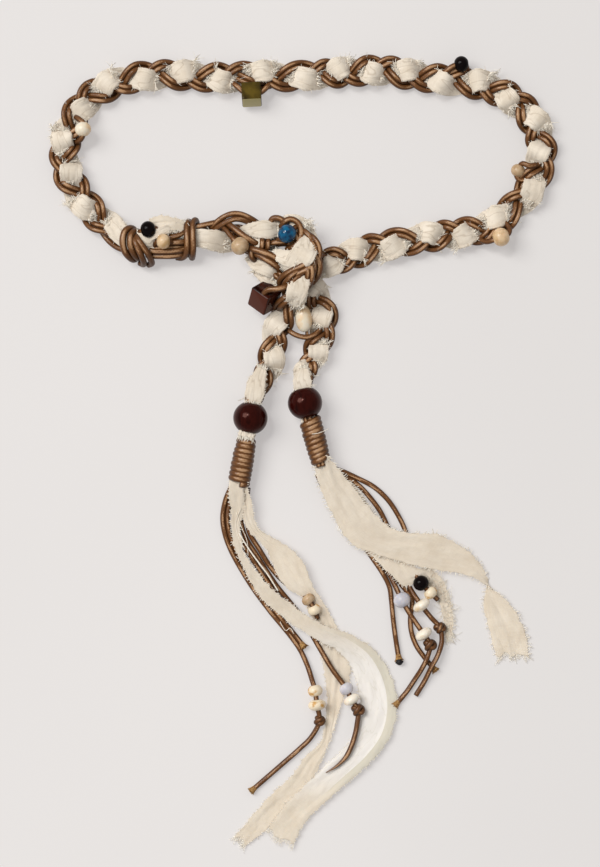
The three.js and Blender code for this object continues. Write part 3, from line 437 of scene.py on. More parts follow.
# Cords that lie on top in the join and the knot, and the short ones that hold beads: width in millimetres,
# then the route
BOUND_CORDS = {
    "join_wrap_a": (4.9, cord_route(
        (137, 247, 2.6), (137, 236, 3), (134, 229.6, 8), (129.6, 228.2, 12.6), (125.2, 231, 15.6),
        (123, 237, 16.8), (122.8, 244, 16.8), (124.6, 251, 15.2), (128.6, 256.6, 11.4), (134, 259.6, 6),
        (137.6, 256, 2.8), (138, 249, 2.6),
    )),
    "join_wrap_b": (4.9, cord_route(
        (142, 247, 2.6), (142, 238, 3.2), (138.6, 232.4, 9), (134.2, 231.4, 13.6), (131, 235, 16.6),
        (130.2, 241, 17.6), (131, 247.8, 16.8), (133.8, 253.6, 14), (137.6, 257.8, 9.6), (142, 258, 4.4),
    )),
    "join_cross_a": (4.6, cord_route(
        (131.6, 234, 11), (134.6, 241, 17.4), (138, 248.6, 18.8), (141.4, 256, 16.6),
        (143.6, 261.6, 11.6), (143.4, 264.4, 6), (140, 263, 3),
    )),
    "join_cross_b": (4.6, cord_route(
        (135, 234.4, 12.4), (138.4, 240, 18), (143, 246.4, 19), (147.4, 253, 17.2), (150.6, 259, 12.6),
        (151.8, 263.4, 7), (148.6, 264.8, 3),
    )),
    "join_low_cords": (4.4, cord_route(
        (188, 247.6, 10), (178, 247.4, 12.4), (165, 247.8, 12.8), (155, 248, 12.4), (148, 247.6, 8),
    )),
    "join_cut_cord": (4.4, cord_route(
        (149.6, 250.4, 13.6), (156, 251.6, 14.2), (166, 251.4, 14.4), (177, 250.6, 14), (188, 249, 11),
    )),
    "join_lowest_cord": (4.4, cord_route(
        (147, 255, 8), (154, 256, 11), (164, 256.2, 12), (174, 256, 11.6), (182, 254.4, 10),
        (188, 250, 6),
    )),
    "join_dark_cord": (4.4, cord_route(
        (164, 240, 10), (171, 237.6, 13.6), (178, 235.4, 14), (185, 232, 12.4), (190, 229, 9),
    )),
    "join_short_cord": (4.4, cord_route(
        (170.4, 242.8, 14.6), (177, 242.4, 16), (184, 242, 14.6), (188, 242, 11),
    )),
    "join_wrap_c": (4.7, cord_route(
        (190, 256, 3), (191, 240, 2.4), (190.4, 225, 4.4), (188.6, 221.6, 8.8), (187, 225, 13),
        (186.8, 232, 16), (187, 241, 17), (187, 249, 15.6), (185.6, 254.8, 12), (181.6, 257.8, 8),
        (176.6, 257.2, 6.4),
    )),
    "join_wrap_d": (4.7, cord_route(
        (190.6, 258, 3.2), (194.6, 241, 2.4), (196.6, 224, 4.2), (195.4, 220.2, 8.6), (193, 222.6, 12.8),
        (192.6, 230, 16), (193, 240, 17.2), (193.2, 248, 16), (192.8, 254, 12.4), (192, 258, 7),
    )),
    "join_first_cord": (4.1, cord_route(
        (192, 228.4, 8.6), (197, 226.8, 11.4), (204, 225, 12), (211, 223.4, 11.4), (218, 222, 10),
        (224, 222, 8),
    )),
    "knot_arch_outer": (4.2, cord_route(
        (211, 228, 9), (216, 222.6, 12), (223.6, 217, 14), (232, 213.8, 14.8), (240, 214, 14.2),
        (248, 217, 12.8), (256, 221.8, 10), (262, 227, 6),
    )),
    "knot_arch_inner": (4.2, cord_route(
        (213, 231, 9), (219, 226.6, 13), (227, 221.8, 15.4), (235, 219, 16), (243, 220, 14.6),
        (250.6, 223.6, 11), (257, 229, 6),
    )),
    "knot_thin_cord": (3.7, cord_route(
        (222, 226, 12), (226.6, 230.6, 15.6), (230.6, 236, 18), (235, 240.6, 20.2), (241, 246, 20.4),
        (247, 250, 18), (252, 251, 13),
    )),
    "knot_diagonal": (4.7, cord_route(
        (225, 222.6, 11), (231, 226, 15.6), (238.6, 231.8, 18.4), (246, 237.4, 19.4), (253, 242, 18.6),
        (259.6, 245.6, 15), (264, 249, 10),
    )),
    "knot_band_a": (5.0, cord_route(
        (246.6, 247, 14), (253, 249.2, 18.8), (262, 251.8, 21), (271, 255.4, 21.4), (278, 259.8, 20),
        (283.4, 265, 16), (285, 271, 10),
    )),
    "knot_band_b": (5.0, cord_route(
        (251, 252, 12), (257, 254.6, 16.6), (264.6, 258.4, 19.4), (272, 263, 20), (278.6, 268, 17.8),
        (282, 274, 12),
    )),
    "knot_low_cord": (5.2, cord_route(
        (262, 248, 7), (272, 245, 12), (282, 243, 15), (292, 243.4, 17), (300, 240.6, 17), (306, 236, 15),
    )),
    "knot_curl": (4.2, cord_route(
        (254, 247, 13), (251, 252, 17.4), (252, 257.6, 16.6), (256, 261, 11),
    )),
    "knot_wraps": (4.0, cord_route(
        (260.6, 254, 10), (261.8, 248.6, 18.6), (262.4, 243, 20.8), (262.6, 238.6, 16), (265, 240, 12),
        (267.6, 248.6, 18.4), (268.2, 243, 21), (268.4, 238.6, 16.4),
    )),
    "knot_short_wrap": (4.0, cord_route(
        (269, 243.6, 17), (275, 242.6, 19.8), (281.6, 242.2, 20), (287, 243.4, 17),
    )),
    "knot_bead_arc_a": (4.6, cord_route(
        (277, 229, 15), (270.8, 223, 17.6), (272.8, 218.6, 18.8), (279, 218.4, 19.8), (285, 222, 19.6),
    )),
    "knot_bead_arc_b": (4.6, cord_route(
        (281, 227, 18), (285, 221.2, 21.4), (291, 219.2, 22), (297, 222, 22.2), (300.8, 228.4, 22.4),
        (301, 235.4, 22.2), (298, 242, 22), (293, 247, 21.4), (287, 249.6, 17),
    )),
    "knot_side_arc": (4.4, cord_route(
        (300, 229, 19), (306.6, 233, 23.6), (312, 240, 24.6), (315, 248, 23.6), (316, 256, 21),
    )),
    "knot_cross_a": (4.9, cord_route(
        (283, 289, 10), (279.8, 282, 17), (283.6, 275.8, 22.6), (291.6, 270.8, 26), (300, 266.8, 27.6),
        (307, 262.6, 27.4), (312.6, 256.6, 24), (315.4, 249, 19),
    )),
    "knot_cross_b": (4.9, cord_route(
        (288, 291, 12), (286, 284, 19), (290.4, 278.2, 24), (297.6, 274, 27), (305, 270.6, 28),
        (311.4, 266, 27), (316.4, 260, 23.4), (319, 252, 18),
    )),
    "knot_side_a": (4.7, cord_route(
        (311.6, 252, 23), (317.6, 259, 24), (320, 267, 23.4), (318, 275.4, 20), (312.6, 282.4, 14),
    )),
    "knot_side_b": (4.7, cord_route(
        (309.6, 257, 25), (313.4, 263, 26), (313.6, 270.6, 24.6), (310, 277.6, 19), (304, 282.6, 13),
    )),
    "white_bead_tie": (4.0, cord_route(
        (76, 117, 9), (79.6, 119.6, 13), (83, 123, 14.4), (83.4, 129, 14.2), (83, 135, 14),
        (80.6, 139.6, 12.4), (76.6, 142, 8.6),
    )),
    "black_bead_top_tie": (4.0, cord_route(
        (441, 74, 8), (446, 71, 11.6), (452, 66.6, 12.4), (457, 64.6, 11), (461.4, 64, 10.9),
        (465.8, 65.4, 9.6), (466.6, 69, 7), (461, 74, 6),
    )),
    "beige_bead_right_tie": (4.0, cord_route(
        (536, 165, 10), (529, 165.6, 12), (522.6, 163.6, 10.4), (519.6, 166.6, 8.6), (518, 170.5, 8),
        (516.6, 175.4, 7.6), (519.4, 179.6, 7), (526, 180, 6.4),
    )),
    "pale_bead_right_tie": (4.0, cord_route(
        (480, 239.6, 7), (486.4, 241.8, 11), (493.6, 240, 14.4), (501, 237, 15), (507.6, 234.6, 14.6),
        (509.6, 229, 12.6), (505, 222.6, 9),
    )),
    "black_bead_join_tie": (4.0, cord_route(
        (138, 234, 12), (141.6, 231, 15.6), (148.2, 229.4, 17.4), (155, 228.4, 16.4), (159.6, 231.6, 12),
    )),
    "peach_bead_join_tie": (4.0, cord_route(
        (154.4, 246, 13), (157, 242.4, 17.6), (163.4, 241.4, 19.8), (169.6, 241.4, 18), (173, 245, 13),
    )),
    "blue_bead_tie": (4.0, cord_route(
        (275.6, 243, 17), (280.6, 238.4, 22.4), (287, 233.6, 25.2), (292.8, 229, 24.2), (298, 226, 19.6),
    )),
    "olive_cube_tie": (4.0, cord_route(
        (233, 83, 8), (238, 87, 11), (243.6, 92, 11.6), (252, 94.6, 9), (260.4, 92.6, 11.6),
        (266.4, 87.6, 11), (270, 82, 8),
    )),
    "garnet_cube_tie": (4.4, cord_route(
        (262, 301, 14), (263.4, 294.4, 22.6), (268, 290, 26.4), (276, 289, 27.6), (284, 287.4, 27),
        (291, 284, 22),
    )),
    "nugget_tie": (4.0, cord_route(
        (288, 330, 7), (294, 334, 9.6), (301, 336.6, 10.4), (308, 337, 10.4), (315, 334.4, 9.6),
        (321, 329, 7),
    )),
    "nugget_thread": (2.6, cord_route(
        (303.6, 300, 11), (304.6, 308, 9.4), (305.5, 319, 8.2), (306.8, 330, 8.4), (307, 337, 10),
    )),
}
# Loose threads that are seen one by one, each with its width in millimetres. They go with the long left strip
STRAY_THREADS = [
    (0.5, cord_route(
        (236, 512, 7), (241, 526, 6.4), (247, 541, 6.6), (248, 556, 6.4),
    )),
    (0.5, cord_route(
        (241, 508, 8), (236, 522, 6.2), (238, 536, 6), (245, 550, 6.4),
    )),
    (1.2, cord_route(
        (239, 533, 7), (246, 544.6, 7), (253, 555, 6.8), (260, 564.4, 6.6), (268, 575, 6.4),
        (278, 591, 6.4),
    )),
    (0.5, cord_route(
        (312, 434, 18.6), (317, 433.4, 20.4), (323, 431.4, 20.4), (329, 428.6, 18),
    )),
    (0.5, cord_route(
        (280, 622, 5), (286, 631, 5.2), (290, 628, 5.4), (294, 634, 5.4),
    )),
]

# The tangle of pulled threads at the end of the narrow right strip, and how many there are
TANGLE = cord_route((427, 578, 3), (437, 586, 1.6), (446, 602, 1), (450, 620, 0.9), (450, 638, 0.8))
TANGLE_THREADS = 190

# Drilled beads on the braids: their size, place on the plan grid and the way that their bores point
LOOP_BEADS = [BeadPlace(*row) for row in (
    ("white_bead", "ivory", 12.0, 11.2, 83, 129.2, 14.2, (0, 1, 0)),
    ("black_bead_join", "black", 12.4, 11.6, 148.2, 229.4, 17.4, (1, 0.2, 0)),
    ("peach_bead_join", "peach", 11.2, 10.4, 163.4, 241.4, 19.8, (1, 0, 0)),
    ("beige_bead_knot", "beige", 13.6, 13, 240, 246, 20.4, (0.6, -0.6, 0)),
    ("blue_bead", "blue", 13.9, 13.3, 287, 233.6, 25.2, (0.8, -0.6, 0)),
    ("black_bead_top", "black", 11.8, 11.1, 461.4, 64, 10.9, (1, 0.1, 0)),
    ("beige_bead_right", "beige", 10.4, 9.8, 518, 170.5, 8, (0.3, 1, 0)),
    ("pale_bead_right", "peach", 13.8, 13, 501, 237, 15, (1, 0.3, 0)),
)]

NUGGET = BeadPlace("ivory_nugget", "ivory", 12.8, 21, 303.4, 318.4, 9.4, (-0.14, 1, 0), 3.4)

# Glass cubes: side in millimetres, place, turns about X, Y and Z, and the turn of the bore within the cube
GLASS_CUBES = {
    "olive": CubePlace(14.4, (251.6, 94.6, 9.2), -0.36, 0, 0.05, (0, math.pi / 2, 0)),
    "garnet": CubePlace(16.6, (264.8, 298, 14.3), 0.69, -0.51, -0.29, (math.pi / 2, 0, 0)),
}
CUBE_BORE = 4 * MM

# Wood beads: their middles and the way that their bores point. Their length is a share of their width
WOOD_BEADS = {
    "left": WoodBead((250.5, 418, 12.7), (-3.6, -22, 0)),
    "right": WoodBead((305, 403, 12.7), (4.9, -22, 0)),
}
WOOD_LENGTH = 0.97
WOOD_BORE = 10 * MM

# Whippings: top and bottom of each, how far its turns lean, and by how many millimetres it widens downwards
WHIPPINGS = {
    "left": Whipping((247.2, 437.4, 11.4), (238.4, 485.4, 8.4), 0.13, 1.0),
    "right": Whipping((309.6, 418.2, 11.4), (321.8, 465.4, 8.4), -0.10, -1.0),
}
# Outer radius of a whipping in millimetres, and its cord's radius and the room of a turn in cord widths
WHIPPING_REACH = 7.8
WHIPPING_CORD = 0.64
WHIPPING_PITCH = 0.87

# The two braids, with how many tufts of torn threads and single threads each has
BRAIDS = (
    Braid("main", MAIN_ROUTE, tufts=470, loose_threads=520),
    Braid("short", SHORT_ROUTE, tufts=100, loose_threads=110),
)

# The light: a pale room, a wide sun as a window, and a small one that makes the glints
ROOM_COLOUR = (1.0, 0.995, 0.985, 1)
ROOM_STRENGTH = 0.42
SUNS = {
    "window_light": Sun((-0.75, 0.42, 1.0), 0.55, 1.75, (1.0, 0.985, 0.96)),
    "glint_light": Sun((-0.32, 0.44, 1.0), 0.16, 0.6, (1.0, 1.0, 1.0)),
}

# Stones and glasses: the two colours that each is clouded between and where one turns into the other, then
# how coarse the clouds are, how rough it is, how much light comes through, its gloss, and a face with painted
# light through it
STONES = {
    "white": Stone(
        "white_stone", "white_stone", (0.72, 0.53, 0.32), (0.92, 0.83, 0.70), (0.24, 0.46), glow=0.1,
    ),
    "ivory": Stone(
        "ivory_stone", "white_stone", (0.78, 0.56, 0.34), (0.84, 0.75, 0.60), (0.40, 0.56), 100.0, glow=0.1,
    ),
    "streaked": Stone(
        "streaked_stone", "peach_stone", (0.60, 0.33, 0.10), (0.86, 0.73, 0.54), (0.38, 0.5), glow=0.05,
    ),
    "peach": Stone(
        "peach_stone", "peach_stone", (0.54, 0.34, 0.16), (0.73, 0.53, 0.33), (0.34, 0.6), glow=0.15,
    ),
    "beige": Stone("beige_stone", "beige_stone", (0.40, 0.25, 0.13), (0.60, 0.44, 0.28), glow=0.2),
    "black": Stone(
        "black_glass", "black_glass", (0.002, 0.001, 0.001), (0.006, 0.003, 0.003),
        scale=120.0, rough=0.12, gloss=0.08,
    ),
    "blue": Stone(
        "blue_glass", "blue_glass", (0.001, 0.026, 0.075), (0.003, 0.115, 0.24), (0.4, 0.62), 240.0, 0.1,
    ),
    "lilac": Stone(
        "lilac_stone", "lilac_glass", (0.50, 0.49, 0.54), (0.71, 0.68, 0.71), scale=120.0, glow=0.2,
    ),
    "olive": Stone(
        "olive_glass", "olive_glass", (0.030, 0.018, 0.001), (0.11, 0.072, 0.008), (0.4, 0.66), 90.0, 0.08,
        gloss=0.2, lit=((0, -1, 0.38), (0.42, 0.36, 0.16)),
    ),
    "garnet": Stone(
        "garnet_glass", "garnet_glass", (0.014, 0.003, 0.002), (0.06, 0.012, 0.006), (0.4, 0.66), 130.0, 0.08,
        gloss=0.2, lit=((-0.62, -0.5, 0.6), (0.075, 0.018, 0.009)),
    ),
}


def on_plan(x, y, z):
    """Plan grid place and a height in millimetres to a point in metres."""
    return Vector(((x - GRID_CENTRE_X) * GRID_STEP, (GRID_CENTRE_Y - y) * GRID_STEP, z * MM))


def seen_at(x, y, z):
    """The point at a height that the camera shows at a place of the plan grid."""
    share = (CAMERA_HEIGHT - z * MM) / (CAMERA_HEIGHT - PICTURE_LEVEL)
    middle_x, middle_y = PICTURE_MIDDLE
    return on_plan(middle_x + (x - middle_x) * share, middle_y + (y - middle_y) * share, z)


def blend_rows(rows, place, read):
    """A value between the two rows next to a place on a route."""
    i = min(len(rows) - 2, int(place))
    share = place - i
    return read(rows[i]) * (1 - share) + read(rows[i + 1]) * share


def curve_point(points, place):
    """Point of the smooth curve through points, at a place that counts them from 0."""
    last = len(points) - 1
    i = min(last - 1, int(place))
    t = place - i
    p1, p2 = points[i], points[i + 1]
    p0 = points[i - 1] if i > 0 else 2 * p1 - p2
    p3 = points[i + 2] if i + 2 <= last else 2 * p2 - p1
    d0, d1, d2 = (math.sqrt(max(1e-9, (b - a).length)) for a, b in ((p0, p1), (p1, p2), (p2, p3)))
    leave = ((p1 - p0) / d0 - (p2 - p0) / (d0 + d1) + (p2 - p1) / d1) * d1
    arrive = ((p2 - p1) / d1 - (p3 - p1) / (d1 + d2) + (p3 - p2) / d2) * d1
    t2, t3 = t * t, t * t * t
    return (
        p1 * (2 * t3 - 3 * t2 + 1) + leave * (t3 - 2 * t2 + t)
        + p2 * (3 * t2 - 2 * t3) + arrive * (t3 - t2)
    )


def walked(path):
    """Length walked along a path up to each of its points."""
    return np.concatenate([[0], np.cumsum(np.linalg.norm(np.diff(path, axis=0), axis=1))])


def even_places(points, step):
    """Places on the curve through points that are about step apart."""
    fine = 16
    places = [i / fine for i in range((len(points) - 1) * fine + 1)]
    lengths = walked(np.array([curve_point(points, place) for place in places]))
    count = max(2, round(lengths[-1] / step)) + 1
    return np.interp(np.linspace(0, lengths[-1], count), lengths, places)


def even_path(points, step):
    """Points about step apart on the smooth curve through some points, as an array."""
    points = [Vector(point) for point in points]
    return np.array([curve_point(points, place) for place in even_places(points, step)])


def unit(vectors):
    return vectors / np.maximum(1e-9, np.linalg.norm(vectors, axis=-1, keepdims=True))


def level_frames(path):
    """Directions ahead, across (kept level, to the left) and up, at each point of a path."""
    ahead = unit(np.gradient(path, axis=0))
    across = unit(np.cross([0.0, 0.0, 1.0], ahead))
    return ahead, across, np.cross(ahead, across)


def keep_above(points, level):
    """Lifts the points of an array that are below a level up to it."""
    points[..., 2] = np.maximum(points[..., 2], level)


def turn_from_up(direction):
    """The turn that brings Z to a direction."""
    return Vector((0, 0, 1)).rotation_difference(Vector(direction)).to_matrix()


def spoke(angle, reach, rise=0.0):
    """A point at an angle and a reach round Z, and a rise along it."""
    return Vector((math.cos(angle) * reach, math.sin(angle) * reach, rise))


def noise_at(x, y, z):
    """Smooth noise from about -1 to 1, with a bump to each step or so of any of its three values."""
    return noise.noise(Vector((x, y, z)))


def steady_noise(values, pitch, seed):
    """Smooth noise along a line, about one bump to each pitch."""
    return np.array([noise_at(value / pitch, seed * 7.3, seed * 3.1) for value in values])


def cord_rings(path, radii, sides):
    """Rings of a round cord along a path, turned as little as possible from ring to ring."""
    ahead = unit(np.gradient(path, axis=0))
    out = np.cross(ahead[0], [0.31, 0.52, 0.79])
    angles = np.linspace(0, FULL_TURN, sides, endpoint=False)
    cosines, sines = np.cos(angles)[:, None], np.sin(angles)[:, None]
    rings = np.empty((len(path), sides, 3))
    for i, direction in enumerate(ahead):
        out = out - direction * out.dot(direction)
        out /= np.linalg.norm(out)
        rings[i] = path[i] + radii[i] * (cosines * out + sines * np.cross(direction, out))
    return rings


class Body:
    """Walls gathered into one mesh, with a UV map: round the piece first, and along it in metres second."""

    def __init__(self):
        self.points = []
        self.faces = []
        self.uvs = []
        self.count = 0

    def add_wall(self, rings, around, along, closed=True):
        """A wall through rings of points. around has one value more than a closed ring has points."""
        rows, count, _ = rings.shape
        row = np.arange(rows - 1)[:, None]
        col = np.arange(count if closed else count - 1)[None, :]
        a = row * count + col
        b = row * count + (col + 1) % count
        quads = np.stack([a, b, b + count, a + count], axis=-1).reshape(-1, 4) + self.count
        u0 = np.broadcast_to(around[:-1][None, :], a.shape)
        u1 = np.broadcast_to(around[1:][None, :], a.shape)
        v0 = np.broadcast_to(along[:-1][:, None], a.shape)
        v1 = np.broadcast_to(along[1:][:, None], a.shape)
        uvs = np.stack([u0, v0, u1, v0, u1, v1, u0, v1], axis=-1).reshape(-1, 2)
        self.points.append(rings.reshape(-1, 3))
        self.faces.extend(quads.tolist())
        self.uvs.append(uvs)
        if closed:
            first = self.count
            last = self.count + (rows - 1) * count
            self.faces.append(list(range(first + count - 1, first - 1, -1)))
            self.faces.append(list(range(last, last + count)))
            self.uvs.append(np.full((count, 2), along[0]))
            self.uvs.append(np.full((count, 2), along[-1]))
        self.count += rows * count

    def add_cord(self, path, radii, sides):
        """A round cord with closed ends; its UV goes once from 0 to 1 round it."""
        radii = np.broadcast_to(radii, (len(path),))
        self.add_wall(cord_rings(path, radii, sides), np.linspace(0, 1, sides + 1), walked(path))

    def make(self, name):
        """The gathered walls as a smooth object at the world's origin."""
        mesh = bpy.data.meshes.new(name)
        mesh.from_pydata(np.concatenate(self.points).tolist(), [], self.faces)
        layer = mesh.uv_layers.new(name="Along")
        layer.data.foreach_set("uv", np.concatenate(self.uvs).ravel())
        mesh.shade_smooth()
        piece = bpy.data.objects.new(name, mesh)
        bpy.context.scene.collection.objects.link(piece)
        return piece


def finish_piece(piece, finish, nodes=()):
    """Gives a piece its material and slot, sets it on the belt, and lets it stand for its CAD nodes."""
    piece.data.materials.clear()
    piece.data.materials.append(MATERIALS[finish])
    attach(piece, "root")
    if nodes:
        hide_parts(*nodes)


# Materials

# Where the long left strip turns paler and back, along Y in metres, and how wide the band along its edge is
# that gets the painted shade of an edge folded over
PALER_FROM = (-0.120, -0.160)
PALER_TO = (-0.262, -0.228)
FOLDED_OVER = 0.0072
# The plait of a cord and the weave of the cotton, in metres, and how many strands go round a cord
PLAIT_PITCH = 0.0021
PLAIT_STRANDS = 5
WEAVE_PITCH = 0.0008
# Half the width of a painted crease line, as a step of the noise that it follows, and the share by which its
# painted shade darkens
CREASE_HALF = 0.022
CREASE_SHADE_DEPTH = 0.42
# How strongly the floor shines, which makes it pale and even, and how much less it does on the right
FLOOR_GLOW = 0.379
FLOOR_GLOW_LOST = 0.040


class Finish:
    """A material with one Principled shader, and short ways to add nodes and join their sockets."""

    def __init__(self, name, **values):
        self.material = bpy.data.materials.new(name)
        self.material.use_nodes = True
        tree = self.material.node_tree
        self.nodes = tree.nodes
        self.links = tree.links
        self.shader = tree.nodes["Principled BSDF"]
        for socket, value in values.items():
            self.shader.inputs[socket.replace("_", " ")].default_value = value

    def add(self, kind, settings=None, **values):
        node = self.nodes.new(kind)
        for key, value in (settings or {}).items():
            setattr(node, key, value)
        for socket, value in values.items():
            node.inputs[socket.replace("_", " ")].default_value = value
        return node

    def join(self, source, target):
        self.links.new(source, target)

    def maths(self, operation, *values):
        node = self.add("ShaderNodeMath", {"operation": operation})
        for socket, value in zip(node.inputs, values):
            if isinstance(value, (int, float)):
                socket.default_value = value
            else:
                self.join(value, socket)
        return node.outputs[0]

    def coordinate(self, kind):
        return self.add("ShaderNodeTexCoord").outputs[kind]

    def parts(self, vector):
        """The separate X, Y and Z of a vector."""
        split = self.add("ShaderNodeSeparateXYZ")
        self.join(vector, split.inputs["Vector"])
        return split.outputs

    def noise_on(self, vector, stretch, scale, detail):
        mapping = self.add("ShaderNodeMapping", Scale=stretch)
        self.join(vector, mapping.inputs["Vector"])
        texture = self.add("ShaderNodeTexNoise", Scale=scale, Detail=detail)
        self.join(mapping.outputs["Vector"], texture.inputs["Vector"])
        return texture.outputs["Fac"]

    def object_noise(self, scale, detail, stretch=(1, 1, 1)):
        return self.noise_on(self.coordinate("Object"), stretch, scale, detail)

    def uv_noise(self, uv, stretch, detail):
        return self.noise_on(uv, stretch, 1.0, detail)

    def eased(self, value, start, end):
        """From nothing to one as a value goes from start to end."""
        smooth = {"interpolation_type": "SMOOTHSTEP"}
        node = self.add("ShaderNodeMapRange", smooth, From_Min=start, From_Max=end)
        self.join(value, node.inputs["Value"])
        return node.outputs["Result"]

    def facing_up(self):
        """How far the surface faces up from where the belt lies; the cords' painted highlight and side shade
        follow it.
        """
        return self.parts(self.coordinate("Normal"))["Z"]

    def fade(self, axis, start, end):
        """From nothing to one between two places along an axis of the object."""
        return self.eased(self.parts(self.coordinate("Object"))[axis], start, end)

    def facing(self, direction, start, end):
        """From nothing to one as the surface turns towards a direction of the object."""
        share = self.add("ShaderNodeVectorMath", {"operation": "DOT_PRODUCT"})
        share.inputs[1].default_value = Vector(direction).normalized()
        self.join(self.coordinate("Normal"), share.inputs[0])
        return self.eased(share.outputs["Value"], start, end)

    def mix(self, share, first, second):
        """One colour blended into another. Each is a socket or a plain colour."""
        node = self.add("ShaderNodeMix", {"data_type": "RGBA"})
        self.join(share, node.inputs["Factor"])
        sockets = [socket for socket in node.inputs if socket.type == "RGBA"]
        for socket, value in zip(sockets, (first, second)):
            if isinstance(value, bpy.types.NodeSocket):
                self.join(value, socket)
            else:
                socket.default_value = (*value, 1)
        return next(socket for socket in node.outputs if socket.type == "RGBA")

    def along(self):
        """The piece's own UV map, and its two values."""
        uv = self.add("ShaderNodeUVMap", {"uv_map": "Along"}).outputs["UV"]
        split = self.parts(uv)
        return uv, split["X"], split["Y"]

    def ramp(self, value, stops):
        ramp = self.add("ShaderNodeValToRGB")
        elements = ramp.color_ramp.elements
        while len(elements) < len(stops):
            elements.new(0.5)
        for element, (position, colour) in zip(elements, stops):
            element.position = position
            element.color = (*colour, 1)
        self.join(value, ramp.inputs["Fac"])
        return ramp.outputs["Color"]

    def colour(self, source):
        self.join(source, self.shader.inputs["Base Color"])

    def let_light_in(self, weight, radius):
        for socket, value in (("Weight", weight), ("Radius", radius), ("Scale", 1.0)):
            self.shader.inputs[f"Subsurface {socket}"].default_value = value

    def bump(self, height, distance, strength=1.0, under=None):
        node = self.add("ShaderNodeBump", Strength=strength, Distance=distance)
        self.join(height, node.inputs["Height"])
        if under is not None:
            self.join(under, node.inputs["Normal"])
        self.join(node.outputs["Normal"], self.shader.inputs["Normal"])
        return node.outputs["Normal"]


def waxed_cord(name, colours, pale=0.0):
    """Cotton cord under wax, smooth as leather: tan on top as a painted highlight, dark at its sides as
    painted shade.

    Pale makes all of it a little lighter, or darker if it is negative.
    """
    finish = Finish(name, Roughness=0.30, Specular_IOR_Level=0.30)
    uv, around, along = finish.along()
    turns = finish.maths("MULTIPLY", around, PLAIT_STRANDS * FULL_TURN)
    steps = finish.maths("MULTIPLY", along, FULL_TURN / PLAIT_PITCH)
    right = finish.maths("SINE", finish.maths("ADD", turns, steps))
    left = finish.maths("SINE", finish.maths("SUBTRACT", turns, steps))
    plait = finish.maths("MULTIPLY_ADD", finish.maths("MAXIMUM", right, left), 0.5, 0.5)
    # Painted light: tan where the cord faces up is a painted highlight, and dark where it faces sideways is
    # painted shade; the noise adds streaks of tone over both
    up = finish.maths("MAXIMUM", finish.facing_up(), 0.0)
    top_highlight = finish.maths("MULTIPLY", finish.maths("MULTIPLY", up, up), 0.50)
    streaks_and_highlight = finish.maths("MULTIPLY_ADD", finish.uv_noise(uv, (9, 95, 1), 4.0), 0.62, top_highlight)
    drift = finish.maths("MULTIPLY_ADD", finish.object_noise(70.0, 2.0), 0.30, streaks_and_highlight)
    # The plait's ridges come out a little lighter and its grooves a little darker: painted shade in the
    # grooves
    tone = finish.maths("MULTIPLY_ADD", plait, 0.06, drift)
    finish.colour(finish.ramp(tone, [
        (0.54 - pale, colours.cord_side_shade), (0.90 - pale, colours.cord_brown), (1.0, colours.cord_highlight),
    ]))
    finish.bump(plait, 0.00012, 0.5)
    return finish.material


def torn_cotton(name, light, shade, soft, crease_shade, paler_stretch=None):
    """Plain-woven cotton: crossing threads, slubs along them, and slight changes of tone.

    The optional pair holds a paler colour for a stretch of the strip, and the painted shade of an edge folded
    over along there.
    """
    finish = Finish(name, Roughness=0.92, Sheen_Weight=0.2, Sheen_Roughness=0.6, Specular_IOR_Level=0.15)
    finish.let_light_in(soft, (0.004, 0.0034, 0.0026))
    uv, across, along = finish.along()
    warp = finish.maths("SINE", finish.maths("MULTIPLY", across, FULL_TURN / WEAVE_PITCH))
    weft = finish.maths("SINE", finish.maths("MULTIPLY", along, FULL_TURN / WEAVE_PITCH))
    weave = finish.maths("MULTIPLY", warp, weft)
    slubs = finish.uv_noise(uv, (1300, 130, 1), 3.0)
    weft_slubs = finish.uv_noise(uv, (150, 1500, 1), 2.0)
    drift = finish.object_noise(70.0, 4.0)
    warp_tone = finish.maths("MULTIPLY", slubs, 0.2)
    threads = finish.maths("ADD", warp_tone, finish.maths("MULTIPLY", weft_slubs, 0.2))
    tone = finish.maths("MULTIPLY_ADD", drift, 0.6, threads)
    colour = finish.ramp(tone, [(0.34, shade), (0.60, light)])
    if paler_stretch:
        pale, folded = paler_stretch
        # Painted shade: a darker band along the edge stands for an edge folded over, which the mesh is not
        lower = finish.mix(finish.maths("LESS_THAN", across, FOLDED_OVER), pale, folded)
        paler_here = finish.maths("MULTIPLY", finish.fade("Y", *PALER_FROM), finish.fade("Y", *PALER_TO))
        colour = finish.mix(paler_here, colour, lower)
    # The creases get painted shade: a darker colour along thin noise lines
    finish.colour(painted_crease_shade(finish, uv, colour, crease_shade))
    under = finish.bump(finish.object_noise(330.0, 3.0), 0.0004, 0.35)
    finish.bump(finish.maths("MULTIPLY_ADD", slubs, 1.2, weave), 0.00010, 0.5, under)
    return finish.material


def painted_crease_shade(finish, uv, colour, dark):
    """Darkens a colour along thin wandering creases: painted shade that follows noise, not the folds of the
    mesh.
    """
    ridge = finish.maths("ABSOLUTE", finish.maths("SUBTRACT", finish.uv_noise(uv, (170, 38, 1), 2.0), 0.5))
    line = finish.add(
        "ShaderNodeMapRange", From_Min=0.0, From_Max=CREASE_HALF, To_Min=CREASE_SHADE_DEPTH, To_Max=0.0,
    )
    finish.join(ridge, line.inputs["Value"])
    return finish.mix(line.outputs["Result"], colour, dark)


def cotton_thread(colours):
    finish = Finish("cotton_thread", Roughness=0.85, Sheen_Weight=0.2)
    tone = finish.object_noise(500.0, 2.0)
    finish.colour(finish.ramp(tone, [(0.3, colours.cloth_light), (0.6, colours.thread_colour)]))
    return finish.material


def frayed_cord_end(colours):
    finish = Finish("frayed_cord_end", Roughness=0.75, Specular_IOR_Level=0.2)
    tone = finish.object_noise(900.0, 3.0)
    finish.colour(finish.ramp(tone, [(0.36, colours.cord_brown), (0.62, colours.cord_end)]))
    return finish.material


